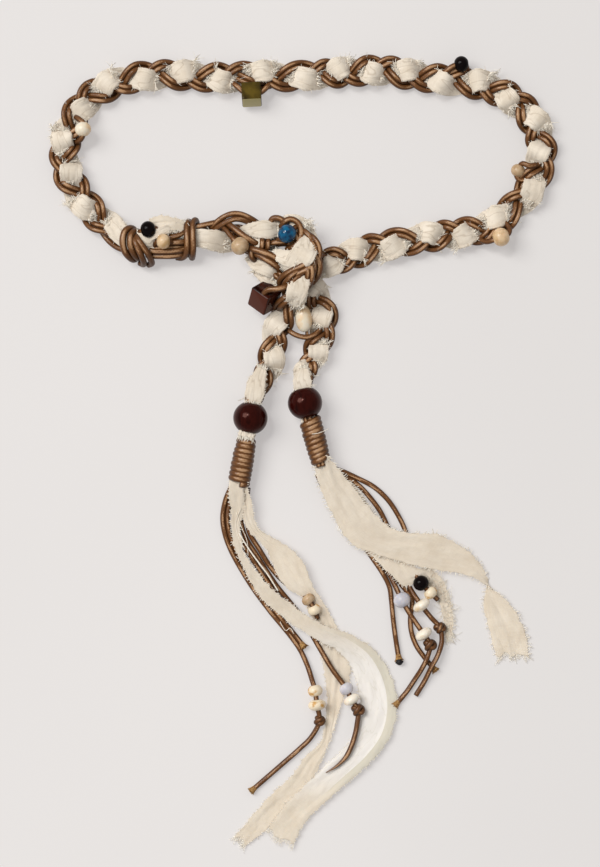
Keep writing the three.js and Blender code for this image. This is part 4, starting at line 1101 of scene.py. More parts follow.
def burnt_cord_end():
    finish = Finish("burnt_cord_end", Roughness=0.5, Specular_IOR_Level=0.3)
    tone = finish.object_noise(700.0, 3.0)
    finish.colour(finish.ramp(tone, [(0.4, (0.004, 0.004, 0.005)), (0.7, (0.02, 0.018, 0.018))]))
    finish.bump(tone, 0.0004, 0.6)
    return finish.material


def polished_wood(colours):
    finish = Finish("polished_wood", Roughness=0.17, Specular_IOR_Level=0.2)
    finish.shader.inputs["Specular Tint"].default_value = (1.0, 0.5, 0.42, 1.0)
    grain = finish.object_noise(300.0, 6.0, (1.0, 0.18, 1.0))
    finish.colour(finish.ramp(grain, [
        (0.3, colours.wood_dark), (0.5, colours.wood_red), (0.72, colours.wood_dark),
    ]))
    finish.bump(grain, 0.0001, 0.2)
    return finish.material


def polished_stone(stone):
    """Polished stone or glass, clouded from one colour to another, with painted light through one face if
    asked.
    """
    finish = Finish(stone.material, Roughness=stone.rough, Specular_IOR_Level=stone.gloss)
    finish.let_light_in(stone.glow, (0.004, 0.003, 0.002))
    clouds = finish.object_noise(stone.scale, 5.0)
    start, end = stone.span
    colour = finish.ramp(clouds, [(start, stone.low), (end, stone.high)])
    if stone.lit:
        # Painted light: the face that turns towards the given direction gets its own colour, as if light came
        # through the glass there
        direction, face_colour = stone.lit
        colour = finish.mix(finish.facing(direction, 0.72, 0.86), colour, face_colour)
    finish.colour(colour)
    finish.bump(finish.object_noise(stone.scale * 5, 3.0), 0.0001, 0.15)
    return finish.material


def pale_floor(colours):
    finish = Finish("pale_floor", Roughness=0.9, Specular_IOR_Level=0.0)
    finish.shader.inputs["Emission Color"].default_value = (1.0, 0.95, 0.94, 1)
    glow = finish.maths("MULTIPLY_ADD", finish.fade("X", -0.06, 0.20), -FLOOR_GLOW_LOST, FLOOR_GLOW)
    finish.join(glow, finish.shader.inputs["Emission Strength"])
    tone = finish.object_noise(3.0, 2.0)
    light = colours.floor_colour
    shade = tuple(0.985 * value for value in light)
    finish.colour(finish.ramp(tone, [(0.4, shade), (0.6, light)]))
    return finish.material


MATERIALS = {}


def make_materials(colours):
    light, shade = colours.strip_light, colours.strip_shade
    # The folded-edge colour is painted shade, for the folded band and for the creases of the paler strip
    folded = colours.strip_fold_shade
    paler_stretch = (colours.strip_paler, folded)
    MATERIALS.update({
        "cord": waxed_cord("waxed_cord", colours),
        "tassel_cord": waxed_cord("tassel_waxed_cord", colours, -0.08),
        "whipping": waxed_cord("whipping_cord", colours, 0.06),
        "cord_end": frayed_cord_end(colours),
        "burnt_end": burnt_cord_end(),
        "cloth": torn_cotton(
            "torn_cotton", colours.cloth_light, colours.cloth_shade, 0.0, colours.cloth_crease_shade,
        ),
        # The strips' crease lines take the strip shade colour as painted shade
        "gauze": torn_cotton("torn_cotton_strip", light, shade, 0.1, shade),
        "paler_gauze": torn_cotton("paler_cotton_strip", light, shade, 0.1, folded, paler_stretch),
        "thread": cotton_thread(colours),
        "wood": polished_wood(colours),
        "floor": pale_floor(colours),
    })
    MATERIALS.update({name: polished_stone(stone) for name, stone in STONES.items()})


# Threads

# Threads of a torn edge hang together in small bunches of this width, this far apart
FRINGE_WIDTH = 0.00085
FRINGE_GAP = 1.7 * MM
# Level of the lowest threads above the floor
THREAD_LEVEL = 0.2 * MM


def add_thread(body, start, heading, length, draw, rise=0.0, curl=0.4, steps=4, width=None):
    """One fine thread that leaves a place in a direction, rises over what is there and curls away."""
    width = width or bpy.context.scene.tie_belt_sizes.thread_width * draw.uniform(0.75, 1.15)
    heading = heading / max(1e-9, np.linalg.norm(heading))
    side = np.cross(heading, UP)
    shares = np.linspace(0, 1, steps + 1)[:, None]
    bend = side * draw.gauss(0, curl) + UP * draw.uniform(-0.12, 0.12)
    path = start + length * (heading * shares + bend * shares ** 2)
    path = path + UP * rise * np.sin(shares * math.pi * 0.62)
    keep_above(path, THREAD_LEVEL)
    body.add_cord(path, width / 2 * np.linspace(1, 0.6, steps + 1), 3)


def add_fringe(body, edge, ahead, outward, length, draw, seed):
    """A comb of torn threads along an edge, longer and shorter in turns."""
    lengths = walked(edge)
    for place in np.arange(FRINGE_GAP, lengths[-1], FRINGE_GAP):
        spot = place + draw.uniform(-0.3, 0.3) * FRINGE_GAP
        start, out, on = (
            np.array([np.interp(spot, lengths, line[:, axis]) for axis in range(3)])
            for line in (edge, outward, ahead)
        )
        size = 0.4 + 1.0 * abs(noise_at(spot / 0.006, seed, 1.7)) + draw.uniform(0, 0.5)
        lean = 0.7 * noise_at(spot / 0.011, seed, 5.2) + draw.gauss(0, 0.22)
        heading = out * math.cos(lean) + on * math.sin(lean)
        rise = draw.uniform(0.2, 0.9) * MM
        width = FRINGE_WIDTH * draw.uniform(0.5, 1.2)
        root = start - out * 0.5 * MM
        add_thread(body, root, heading, length * size, draw, rise, curl=0.25, steps=3, width=width)


# Braids

# The two cord pairs swing this much before and after the cloth strand
THIRD_CYCLE = FULL_TURN / 3
# Sides of a round cord
CORD_SIDES = 14

Strand = namedtuple("Strand", "line sizes swings sides lengths")


def heading_at(points, place, near):
    """Direction of the smooth curve through points, from just before a place to just after it."""
    after = curve_point(points, min(len(points) - 1, place + near))
    return after - curve_point(points, max(0, place - near))


def strand_line(route, lag, step, reach_share=1.0):
    """Middle of one strand of a braid at even steps, with how it is squeezed and where it is in its swing."""
    points = [on_plan(row.x, row.y, row.z) for row in route]
    spots, sizes, swings, sides = [], [], [], []
    for place in even_places(points, step):
        ahead = heading_at(points, place, 0.02)
        side = Vector((-ahead.y, ahead.x, 0)).normalized()
        rise = ahead.cross(side).normalized()
        angle = math.pi * blend_rows(route, place, lambda row: row.turn) + lag
        reach = blend_rows(route, place, lambda row: FORMS[row.form].reach) * MM * reach_share
        lift = blend_rows(route, place, lambda row: FORMS[row.form].lift) * MM
        swing = math.sin(2 * angle)
        here = curve_point(points, place)
        spots.append(here + side * (reach * math.sin(angle)) + rise * (lift * swing))
        sizes.append(blend_rows(route, place, lambda row: FORMS[row.form].size))
        swings.append(swing)
        sides.append(math.sin(angle))
    spots = np.array(spots)
    smoothings = 3
    for _ in range(smoothings):
        spots[1:-1] = (spots[:-2] + 2 * spots[1:-1] + spots[2:]) / 4
    lengths = walked(spots)
    even = np.linspace(0, lengths[-1], int(lengths[-1] / step) + 1)
    line = np.stack([np.interp(even, lengths, spots[:, axis]) for axis in range(3)], axis=1)
    return Strand(line, *(np.interp(even, lengths, values) for values in (sizes, swings, sides)), even)


def uneven_radii(width, lengths, seed):
    """Radii of a cord whose width varies a little along it."""
    return width / 2 * (1 + 0.04 * steady_noise(lengths, 0.006, seed))


def cord_pair(name, route, lag, seed, node):
    """Two waxed cords side by side that swing through the braid together."""
    width = bpy.context.scene.tie_belt_sizes.cord_width
    strand = strand_line(route, lag, 1.3 * MM)
    _, across, up = level_frames(strand.line)
    roll = 0.35 * steady_noise(strand.lengths, 0.03, seed)[:, None]
    spread = (width * 0.475 * (0.4 + 0.6 * strand.sizes))[:, None]
    body = Body()
    for side in (-1, 1):
        wobble = 0.35 * MM * steady_noise(strand.lengths, 0.014, seed + side)[:, None]
        path = strand.line + side * spread * (across * np.cos(roll) + up * np.sin(roll)) + across * wobble
        keep_above(path, width / 2)
        body.add_cord(path, uneven_radii(width, strand.lengths, seed + 3 * side), CORD_SIDES)
    finish_piece(body.make(name), "cord", [node])


# Points round a folded strip. Its creases: place across it from -1 to 1, and depth in millimetres
FOLDED_SIDES = 44
CREASES = ((-0.7, 0.4), (-0.36, 0.8), (0.02, 0.4), (0.38, 0.8), (0.72, 0.4))
CREASE_WIDTH = 0.07
# Level of the lowest cotton above the floor
COTTON_LEVEL = 0.15 * MM
# A cloth strand's width and thickness go with these powers of its braid's size
WIDTH_POWER = 0.8
THICKNESS_POWER = 0.5
# Points that stay bare at each end of a cloth strand, and steps over which a tuft finds the way down
BARE_END = 6
NEAR_STEPS = 4
# Swings between which a cloth strand goes down below the cords, and from which it shows at its edges
DIVING = (-0.25, 0.5)
SHOWING = 0.1


def crease_dip(flat, length, seed):
    """How deep the creases of a folded strip are, at places across it, some way along it."""
    dip = np.zeros(len(flat))
    for k, (base, depth) in enumerate(CREASES):
        middle = base + 0.55 * noise_at(length / 0.016, seed, k * 3.7)
        deep = depth * (0.55 + 1.6 * noise_at(length / 0.009, seed + 40, k * 2.9))
        dip += max(0.0, deep) * MM * np.exp(-(((flat - middle) / CREASE_WIDTH) ** 2))
    return dip


def torn_edge(side, length, seed):
    """Share by which the torn edge on a side stands out, some way along a strip."""
    coarse = noise_at(length / 0.006, seed, 9.1 * side)
    return 0.12 * coarse + 0.07 * noise_at(length / 0.0016, seed, 9.1 * side)


def folded_cotton(body, line, widths, thicknesses, tilts, seed):
    """A torn strip folded on itself, whose creases run along it."""
    _, across, up = level_frames(line)
    lengths = walked(line)
    angles = np.linspace(0, FULL_TURN, FOLDED_SIDES, endpoint=False)
    cosines, sines = np.cos(angles), np.sin(angles)
    flat = np.sign(cosines) * np.abs(cosines) ** 0.82
    high = np.sign(sines) * np.abs(sines) ** 0.42
    top = high > 0
    rings = np.empty((len(line), FOLDED_SIDES, 3))
    for i, length in enumerate(lengths):
        dip = crease_dip(flat, length, seed)
        edge = 1 + np.array([torn_edge(side, length, seed) for side in np.sign(cosines)])
        swell = np.array([
            noise_at(place * 2.2, length / 0.010, seed + 3 * above)
            for place, above in zip(flat, top)
        ])
        x = widths[i] / 2 * flat * edge
        z = thicknesses[i] / 2 * high * (1 + 0.10 * swell) - dip * top + 0.4 * dip * (high < 0)
        cosine, sine = math.cos(tilts[i]), math.sin(tilts[i])
        level = across[i] * (x * cosine - z * sine)[:, None]
        rings[i] = line[i] + level + up[i] * (x * sine + z * cosine)[:, None]
    keep_above(rings, COTTON_LEVEL)
    body.add_wall(rings, np.linspace(0, 1.1 * widths.max() + widths.max(), FOLDED_SIDES + 1), lengths)


def cloth_strand(name, route, seed, node):
    """The braid's strip of torn cotton, fuller where it lies on top."""
    sizes = bpy.context.scene.tie_belt_sizes
    strand = strand_line(route, 0, 1.2 * MM, CLOTH_REACH)
    strand.line[:, 2] += CLOTH_LIFT * np.maximum(0, CLOTH_RAISED + strand.swings)
    widths = sizes.cloth_width * strand.sizes ** WIDTH_POWER * (1 + 0.14 * strand.swings)
    thicknesses = sizes.cloth_thickness * strand.sizes ** THICKNESS_POWER * (1 + 0.12 * strand.swings)
    tilts = -0.26 * strand.sides + 0.16 * steady_noise(strand.lengths, 0.02, seed)
    body = Body()
    folded_cotton(body, strand.line, widths, thicknesses, tilts, seed)
    finish_piece(body.make(name), "cloth", [node])
    return strand


def add_tuft(body, strand, frames, i, draw):
    """A few torn threads side by side that cross from a cloth strand over the cords beside it."""
    sizes = bpy.context.scene.tie_belt_sizes
    ahead, across, up = (directions[i] for directions in frames)
    onward = 1 if strand.swings[i + NEAR_STEPS] < strand.swings[i - NEAR_STEPS] else -1
    share = draw.uniform(-0.85, 0.85)
    lean = draw.gauss(0, 0.55)
    for _ in range(draw.randrange(4, 9)):
        share = min(0.95, max(-0.95, share + draw.uniform(0.05, 0.16)))
        reach = sizes.cloth_width / 2 * strand.sizes[i] ** WIDTH_POWER * share
        start = strand.line[i] + across * reach + up * sizes.cloth_thickness * 0.4
        turn = lean + draw.gauss(0, 0.22)
        heading = ahead * onward * math.cos(turn) + across * math.sin(turn) + up * 0.35
        length = draw.uniform(2.6, 6.6) * MM
        rise = draw.uniform(0.6, 2.0) * MM
        width = FRINGE_WIDTH * draw.uniform(0.4, 0.95)
        add_thread(body, start, heading, length, draw, rise, width=width)


def add_loose_thread(body, strand, frames, i, draw):
    """A single torn thread at one of the edges of a cloth strand."""
    half = bpy.context.scene.tie_belt_sizes.cloth_width / 2 * 0.92
    ahead, across, up = (directions[i] for directions in frames)
    out = across * draw.choice((-1, 1))
    lean = draw.gauss(0, 0.7)
    start = strand.line[i] + out * half * strand.sizes[i] ** WIDTH_POWER + up * draw.uniform(0, 1.2) * MM
    heading = out * math.cos(lean) + ahead * math.sin(lean) + up * draw.uniform(0.0, 0.5)
    add_thread(body, start, heading, draw.uniform(1.2, 3.6) * MM, draw)


def fray_braid(name, strand, tufts, loose_threads, seed):
    """Torn threads of a cloth strand, where it shows: tufts, and single threads at its edges."""
    draw = random.Random(seed)
    frames = level_frames(strand.line)
    body = Body()
    hidden_size = FORMS["beaded"].size + 0.02
    inner = range(BARE_END, len(strand.line) - BARE_END)
    outside = [i for i in inner if strand.sizes[i] > hidden_size]
    diving = [i for i in outside if DIVING[0] < strand.swings[i] < DIVING[1]]
    for _ in range(tufts):
        add_tuft(body, strand, frames, draw.choice(diving), draw)
    showing = [i for i in outside if strand.swings[i] > SHOWING]
    for _ in range(loose_threads):
        add_loose_thread(body, strand, frames, draw.choice(showing), draw)
    finish_piece(body.make(name), "thread")


# Tassel cords

# Steps of the cord round a knot, and how deep its three lobes are and how high it rises, as shares
KNOT_STEPS = 72
KNOT_LOBES = 0.26
KNOT_RISE = 0.66
# Fibres of a frayed cord end, and half the length of its bell
END_FIBRES = 80
HALF_BELL = 2.2 * MM
# Radius of a melted tip, half its length, and how far its middle is past the end of its cord
TIP_RADIUS = 2.9 * MM
HALF_TIP = 2.8 * MM
TIP_MIDDLE = 3.2 * MM


def knot_piece(name, place, direction, width):
    """An overhand knot drawn tight: a three-lobed loop of the same cord round it."""
    cord = bpy.context.scene.tie_belt_sizes.tassel_width
    turn = turn_from_up(direction)
    reach = width / 2 - cord / 2
    path = []
    for i in range(KNOT_STEPS + 1):
        angle = FULL_TURN * i / KNOT_STEPS
        ring = reach * (1 - KNOT_LOBES + KNOT_LOBES * math.cos(3 * angle))
        rise = KNOT_RISE * reach * math.sin(3 * angle)
        path.append(place + turn @ spoke(2 * angle, ring, rise))
    path = np.array(path)
    keep_above(path, cord / 2)
    body = Body()
    body.add_cord(path, cord / 2, CORD_SIDES)
    piece = body.make(name)
    finish_piece(piece, "tassel_cord")
    return piece


def cord_end_tuft(name, place, direction, seed):
    """A cut end that has opened into a short bell, with stiff fibres round its rim."""
    cord = bpy.context.scene.tie_belt_sizes.tassel_width
    draw = random.Random(seed)
    turn = turn_from_up(direction)
    heading = Vector(direction).normalized()
    body = Body()
    shares = np.linspace(-1.0, 1.0, 9)
    path = np.array([place + heading * share * HALF_BELL for share in shares])
    radii = cord / 2 * (1.04 + 0.48 * ((shares + 1) / 2) ** 1.6)
    keep_above(path, radii)
    body.add_cord(path, radii, CORD_SIDES)
    for _ in range(END_FIBRES):
        spin = draw.uniform(0, FULL_TURN)
        share = math.sqrt(draw.random())
        base = turn @ spoke(spin, share) * cord * 0.7
        lean = turn @ spoke(spin, share * 0.6, 1)
        start = np.array(place + base + heading * 1.4 * MM)
        add_thread(body, start, np.array(lean), draw.uniform(1.0, 2.0) * MM, draw, curl=0.15, steps=2)
    piece = body.make(name)
    finish_piece(piece, "cord_end")
    return piece


def burnt_tip(name, place, direction):
    """The small melted bead of an end that was sealed with a flame."""
    heading = Vector(direction).normalized()
    body = Body()
    shares = np.linspace(-1.0, 1.0, 13)
    path = np.array([place + heading * (TIP_MIDDLE + HALF_TIP * share) for share in shares])
    radii = TIP_RADIUS * np.sqrt(np.maximum(0.02, 1 - shares ** 2)) * (1 + 0.12 * np.sin(shares * 7))
    keep_above(path, radii.max())
    body.add_cord(path, radii, CORD_SIDES)
    piece = body.make(name)
    finish_piece(piece, "burnt_end")
    return piece


def tassel_cord(cord, seed):
    """One free cord with its beads, knot and end."""
    sizes = bpy.context.scene.tie_belt_sizes
    points = [on_plan(*row) for row in cord.rows]
    path = even_path(points, 1.4 * MM)
    lengths = walked(path)
    radii = uneven_radii(sizes.tassel_width, lengths, seed)
    if cord.end == "tapered":
        radii = radii * np.clip((lengths[-1] - lengths) / 0.022, 0.12, 1) ** 0.7
    body = Body()
    body.add_cord(path, radii, CORD_SIDES)
    piece = body.make(cord.node.replace("tassel_cord", "waxed_tassel_cord"))
    finish_piece(piece, "tassel_cord", [cord.node])
    goes_with = [
        drilled_bead(bead, points[bead.row], heading_at(points, bead.row, 0.05)) for bead in cord.beads
    ]
    if cord.knot is not None:
        heading = heading_at(points, cord.knot, 0.05)
        name = cord.node.replace("tassel_cord", "end_knot")
        goes_with.append(knot_piece(name, points[cord.knot], heading, cord.knot_width * MM))
    end, heading = Vector(path[-1]), Vector(path[-1] - path[-3])
    if cord.end in ("flared", "burnt"):
        goes_with.append(cord_end_tuft(cord.node.replace("tassel_cord", "cord_tuft"), end, heading, seed))
    if cord.end == "burnt":
        goes_with.append(burnt_tip(cord.node.replace("tassel_cord", "burnt_tip"), end, heading))


# Beads

# Segments and rings of the balls that the beads start from
SMALL_BALL = (28, 18)
NUGGET_BALL = (36, 24)
WOOD_BALL = (56, 40)
# Shares of their width by which the rims of a bead and the edges of a glass cube are eased
RIM_EASE = 0.03
CUBE_EASE = 0.09


def only(piece):
    """Selects one object and nothing else."""
    bpy.ops.object.select_all(action="DESELECT")
    piece.select_set(True)
    bpy.context.view_layer.objects.active = piece


def settle(piece, matrix):
    """Moves and turns a piece, and puts that into its mesh."""
    piece.matrix_world = matrix
    only(piece)
    bpy.ops.object.transform_apply(location=True, rotation=True, scale=True)


def turned_to(direction, place):
    """The matrix that turns Z to a direction and moves the origin to a place."""
    return Matrix.Translation(place) @ turn_from_up(direction).to_4x4()


def drilled_ball(name, width, length, hole, ball):
    """A ball with its poles cut off, scaled to its length, with a bore and eased rims."""
    segments, rings = ball
    bpy.ops.object.select_all(action="DESELECT")
    bpy.ops.mesh.primitive_uv_sphere_add(segments=segments, ring_count=rings, radius=width / 2)
    bead = bpy.context.object
    bead.name = name
    bpy.ops.object.mode_set(mode="EDIT")
    mesh = bmesh.from_edit_mesh(bead.data)
    bpy.ops.mesh.select_all(action="DESELECT")
    level = width / 2 * math.cos(math.asin(min(0.95, hole / width)))
    for face in mesh.faces:
        face.select_set(abs(face.calc_center_median().z) > level * 0.985)
    bpy.ops.mesh.delete(type="FACE")
    for sign in (-1, 1):
        bpy.ops.mesh.select_all(action="DESELECT")
        rim = [vertex for vertex in mesh.verts if vertex.is_boundary and vertex.co.z * sign > 0]
        share = hole / 2 / rim[0].co.xy.length
        for vertex in rim:
            vertex.select_set(True)
        bpy.ops.transform.resize(value=(share, share, 1))
    bpy.ops.mesh.select_mode(type="EDGE")
    rims = [edge for edge in mesh.edges if edge.is_boundary]
    # The rims are selected twice: to bridge them, and then to ease them
    for joined in (True, False):
        bpy.ops.mesh.select_all(action="DESELECT")
        for edge in rims:
            edge.select_set(True)
        if joined:
            bpy.ops.mesh.bridge_edge_loops()
    bpy.ops.mesh.bevel(offset=width * RIM_EASE, segments=2)
    bpy.ops.mesh.select_all(action="SELECT")
    bpy.ops.transform.resize(value=(1, 1, length / width))
    bpy.ops.mesh.normals_make_consistent(inside=False)
    bpy.ops.object.mode_set(mode="OBJECT")
    bpy.ops.object.shade_smooth()
    return bead


def drilled_bead(bead, place, heading, ball=SMALL_BALL):
    """A bead on a tassel cord or on a braid, in place of its CAD node."""
    name = bead.node.replace("cord_bead", "tassel_bead") + "_drilled"
    piece = drilled_ball(name, bead.width * MM, bead.length * MM, bead.bore * MM, ball)
    settle(piece, turned_to(heading, place))
    finish_piece(piece, bead.finish, [bead.node])
    return piece


# Torn strips

# Points across a torn strip, and the room between its rows of points
STRIP_POINTS = 33
STRIP_STEP = 0.9 * MM
# Share of a strip's width by each edge that is torn, how far its end is torn, and along what length
TORN_SHARE = 0.15
TORN_END = 3.5 * MM
TORN_LENGTH = 0.008
# Lowest level of the middle of a strip's wall above the floor
STRIP_LEVEL = 0.45 * MM
# Threads at the end of a strip
END_THREADS = 82


def strip_edges(rows):
    """The two edges of a strip at even places of its rows, with those places."""
    first = [on_plan(row.x1, row.y1, row.z1) for row in rows]
    second = [on_plan(row.x2, row.y2, row.z2) for row in rows]
    places = even_places([(a + b) / 2 for a, b in zip(first, second)], STRIP_STEP)
    edges = (np.array([curve_point(points, place) for place in places]) for points in (first, second))
    return places, *edges


def fold_height(share, span, length, folds, depth, shift, seed):
    """How high a strip's folds, ripples and crumples raise it, at a share of its width and some way along."""
    drift = 4 * noise_at(share * 2, length / 0.04, seed)
    wave = math.sin(FULL_TURN * folds * share + shift + drift)
    ripple = noise_at(share * span / 0.006, length / 0.02, seed)
    crumple = noise_at(share * span / 0.0026, length / 0.005, seed + 5)
    return depth * (0.5 + 0.3 * wave + 0.8 * ripple) + 0.2 * MM * crumple


def torn_out(length, seed, kind):
    """How far a torn edge stands out, some way along a strip."""
    coarse = 1.1 * MM * noise_at(length / 0.0036, seed, kind)
    return coarse + 0.6 * MM * noise_at(length / 0.0013, seed, kind)


def strip_points(rows, seed):
    """Rows of points across a torn strip as it lies, its directions ahead and outward, and lengths along."""
    places, edge_a, edge_b = strip_edges(rows)
    middle = (edge_a + edge_b) / 2
    lengths = walked(middle)
    ahead = unit(np.gradient(middle, axis=0))
    outward = unit(edge_b - edge_a)
    shares = np.linspace(0, 1, STRIP_POINTS)
    end_tear = np.array([noise_at(share * 5, seed, 0.3) for share in shares])
    grid = np.empty((len(places), STRIP_POINTS, 3))
    for i, (place, length) in enumerate(zip(places, lengths)):
        folds = blend_rows(rows, place, lambda row: row.folds)
        depth = blend_rows(rows, place, lambda row: row.depth) * MM
        span = np.linalg.norm(edge_b[i] - edge_a[i])
        tear_a, tear_b = (torn_out(length, seed, kind) for kind in (2.2, 8.2))
        shift = 1.5 * noise_at(length / 0.06, seed, 4.4)
        for k, share in enumerate(shares):
            near_a = max(0, TORN_SHARE - share)
            near_b = max(0, share - (1 - TORN_SHARE))
            torn = outward[i] * (tear_b * near_b - tear_a * near_a) / TORN_SHARE
            grid[i, k] = edge_a[i] * (1 - share) + edge_b[i] * share + torn
            grid[i, k, 2] += fold_height(share, span, length, folds, depth, shift, seed)
        last = max(0.0, 1 - (lengths[-1] - length) / TORN_LENGTH)
        grid[i] += ahead[i] * (TORN_END * last * end_tear)[:, None]
    keep_above(grid, STRIP_LEVEL)
    return grid, ahead, outward, lengths


def torn_sheet(name, rows, seed, node, fringe):
    grid, ahead, outward, lengths = strip_points(rows, seed)
    walks = np.linalg.norm(np.diff(grid, axis=1), axis=2).sum(axis=1)
    area = float(((walks[1:] + walks[:-1]) / 2 * np.diff(lengths)).sum())
    body = Body()
    body.add_wall(grid[:, ::-1], np.linspace(0, walks.max(), STRIP_POINTS), lengths, closed=False)
    piece = body.make(name)
    only(piece)
    wall = piece.modifiers.new("wall", "SOLIDIFY")
    wall.thickness = bpy.context.scene.tie_belt_sizes.strip_thickness
    wall.offset = 0
    bpy.ops.object.modifier_apply(modifier=wall.name)
    finish_piece(piece, "paler_gauze" if node == "strip_left_long" else "gauze", [node])
    draw = random.Random(seed)
    threads = Body()
    add_fringe(threads, grid[:, 0], ahead, -outward, fringe, draw, seed)
    add_fringe(threads, grid[:, -1], ahead, outward, fringe, draw, seed + 1)
    for _ in range(END_THREADS):
        root = grid[-1, draw.randrange(STRIP_POINTS)] - ahead[-1] * 0.6 * MM
        heading = ahead[-1] + outward[-1] * draw.gauss(0, 0.3)
        add_thread(threads, root, heading, draw.uniform(1.5, 6) * MM, draw)
    return piece, threads, (float(walks.max()), float(lengths[-1])), area


def declare_sheet(threads, name):
    fringe = threads.make(name)
    finish_piece(fringe, "thread")


def add_tangle(body, rows, count, draw):
    """A matted tangle of pulled threads along a route."""
    points = [on_plan(*row) for row in rows]
    for _ in range(count):
        place = draw.uniform(0, len(points) - 1.01)
        aside = np.array([draw.gauss(0, 2.2), draw.gauss(0, 1.6), 0]) * MM
        here = np.array(curve_point(points, place)) + aside
        here[2] = max(2 * THREAD_LEVEL, here[2] + draw.uniform(-0.5, 1.5) * MM)
        spin = draw.uniform(0, FULL_TURN)
        heading = np.array([math.cos(spin), math.sin(spin), 0])
        length = draw.uniform(2, 7) * MM
        add_thread(body, here, heading, length, draw, rise=draw.uniform(0, 1) * MM, curl=0.8, steps=6)


# Settings that a user may change

def metres(name, text, default):
    return bpy.props.FloatProperty(name=name, description=text, default=default, unit="LENGTH", min=0.0001)


def tint(name, text, default):
    return bpy.props.FloatVectorProperty(
        name=name, description=text, default=default, subtype="COLOR", size=3, min=0.0, max=1.0,
    )


class TieBeltSizes(bpy.types.PropertyGroup):
    cord_width: metres("Cord Width", "Width of each waxed cord in the braids", 0.0040)
    tassel_width: metres("Tassel Cord Width", "Width of the free cords of the tassels", 0.0038)
    cloth_width: metres("Cloth Strand Width", "Width of the folded cotton strand", 0.0150)
    cloth_thickness: metres("Cloth Strand Thickness", "Thickness of the folded cotton strand", 0.0037)
    strip_thickness: metres("Strip Thickness", "Thickness of the tassels' torn strips", 0.0006)
    thread_width: metres("Thread Width", "Width of a loose cotton thread", 0.00044)
    wood_bead_width: metres("Wood Bead Width", "Width of the turned wood beads", 0.0254)


class TieBeltColours(bpy.types.PropertyGroup):
    # The first colour below is painted shade at the sides of the cords, and the third is a painted highlight
    # on their tops; both are mixed with streaks of tone
    cord_side_shade: tint("Cord Side Shade", "Painted shade of the waxed cord at its sides", (0.070, 0.026, 0.008))
    cord_brown: tint("Cord", "Main colour of the waxed cord", (0.165, 0.066, 0.020))
    cord_highlight: tint("Cord Highlight", "Painted highlight of the cord where it faces up", (0.45, 0.26, 0.135))
    cord_end: tint("Cord Ends", "Colour of the frayed cord ends", (0.46, 0.27, 0.10))
    cloth_light: tint("Cotton", "Colour of the torn cotton", (0.845, 0.755, 0.635))
    cloth_shade: tint("Cotton Shade", "Colour of the cotton between its threads", (0.71, 0.61, 0.485))
    # The colour below is painted shade along the creases of the cotton
    cloth_crease_shade: tint("Cotton Crease Shade", "Painted shade along the creases of the cotton", (0.40, 0.30, 0.20))
    strip_light: tint("Strips", "Colour of the tassels' strips", (0.83, 0.73, 0.60))
    strip_shade: tint("Strip Shade", "Colour of the strips between their threads", (0.72, 0.61, 0.48))
    strip_paler: tint("Paler Strip", "Colour of the lower part of the long left strip", (0.91, 0.86, 0.80))
    # The colour below is painted shade of an edge folded over
    strip_fold_shade: tint("Folded Edge Shade", "Painted shade of the edge folded over along that part", (0.70, 0.65, 0.54))
    thread_colour: tint("Threads", "Colour of the loose cotton threads", (0.94, 0.88, 0.77))
    wood_dark: tint("Wood", "Main colour of the wood beads", (0.012, 0.0010, 0.0007))
    wood_red: tint("Wood Grain", "Colour of the grain of the wood beads", (0.030, 0.0030, 0.0018))
    floor_colour: tint("Floor", "Colour of the floor", (0.43, 0.42, 0.41))


# Operators

# Room between the points of the cords and cotton on top of the braids, and sides of those cords
TOP_STEP = 1.2 * MM
BOUND_SIDES = 16
# Cotton on top has this share of the thickness in the braids, and its edges fray by this much
SCRAP_SHARE = 0.8
SCRAP_FRINGE = 2.0 * MM
SCRAP_END_THREADS = 60
# Points to each turn of a whipping
TURN_STEPS = 26


class TieBeltOperator:
    """Common to the operators of the tie belt"""
    bl_options = {"REGISTER", "UNDO"}

    def execute(self, context):
        self.make(context)
        return {"FINISHED"}


class AddStage(TieBeltOperator, bpy.types.Operator):
    """Add the pale floor, the soft light and the camera that looks straight down"""
    bl_idname = "tie_belt.stage"
    bl_label = "Stage"

    def make(self, context):
        scene = context.scene
        middle = on_plan(*PICTURE_MIDDLE, 0)
        camera = bpy.data.objects.new("picture_camera", bpy.data.cameras.new("picture_camera"))
        scene.collection.objects.link(camera)
        camera.location = (middle.x, middle.y, CAMERA_HEIGHT)
        camera.data.sensor_fit = "VERTICAL"
        camera.data.sensor_height = SENSOR
        picture_height = PICTURE_STEPS_HIGH * GRID_STEP
        camera.data.lens = SENSOR * (CAMERA_HEIGHT - PICTURE_LEVEL) / picture_height
        camera.data.clip_start = NEAREST_SEEN
        scene.camera = camera
        bpy.ops.object.select_all(action="DESELECT")
        bpy.ops.mesh.primitive_plane_add(size=FLOOR_SIDE, location=(0, 0, 0))
        floor = context.object
        floor.name = "floor"
        floor.data.materials.append(MATERIALS["floor"])
        world = bpy.data.worlds.new("soft_room")
        scene.world = world
        world.use_nodes = True
        background = world.node_tree.nodes["Background"]
        background.inputs["Color"].default_value = ROOM_COLOUR
        background.inputs["Strength"].default_value = ROOM_STRENGTH
        for name, sun in SUNS.items():
            lamp = bpy.data.lights.new(name, "SUN")
            lamp.angle = sun.spread
            lamp.energy = sun.strength
            lamp.color = sun.colour
            light = bpy.data.objects.new(name, lamp)
            scene.collection.objects.link(light)
            light.rotation_euler = Vector(sun.toward).to_track_quat("Z", "Y").to_euler()
        scene.view_settings.view_transform = "Standard"


class AddTasselCords(TieBeltOperator, bpy.types.Operator):
    """Add the free cords of both tassels, with their beads, knots and frayed ends"""
    bl_idname = "tie_belt.tassel_cords"
    bl_label = "Tassel Cords"

    def make(self, context):
        for seed, cord in enumerate(TASSEL_CORDS):
            tassel_cord(cord, seed + 40)


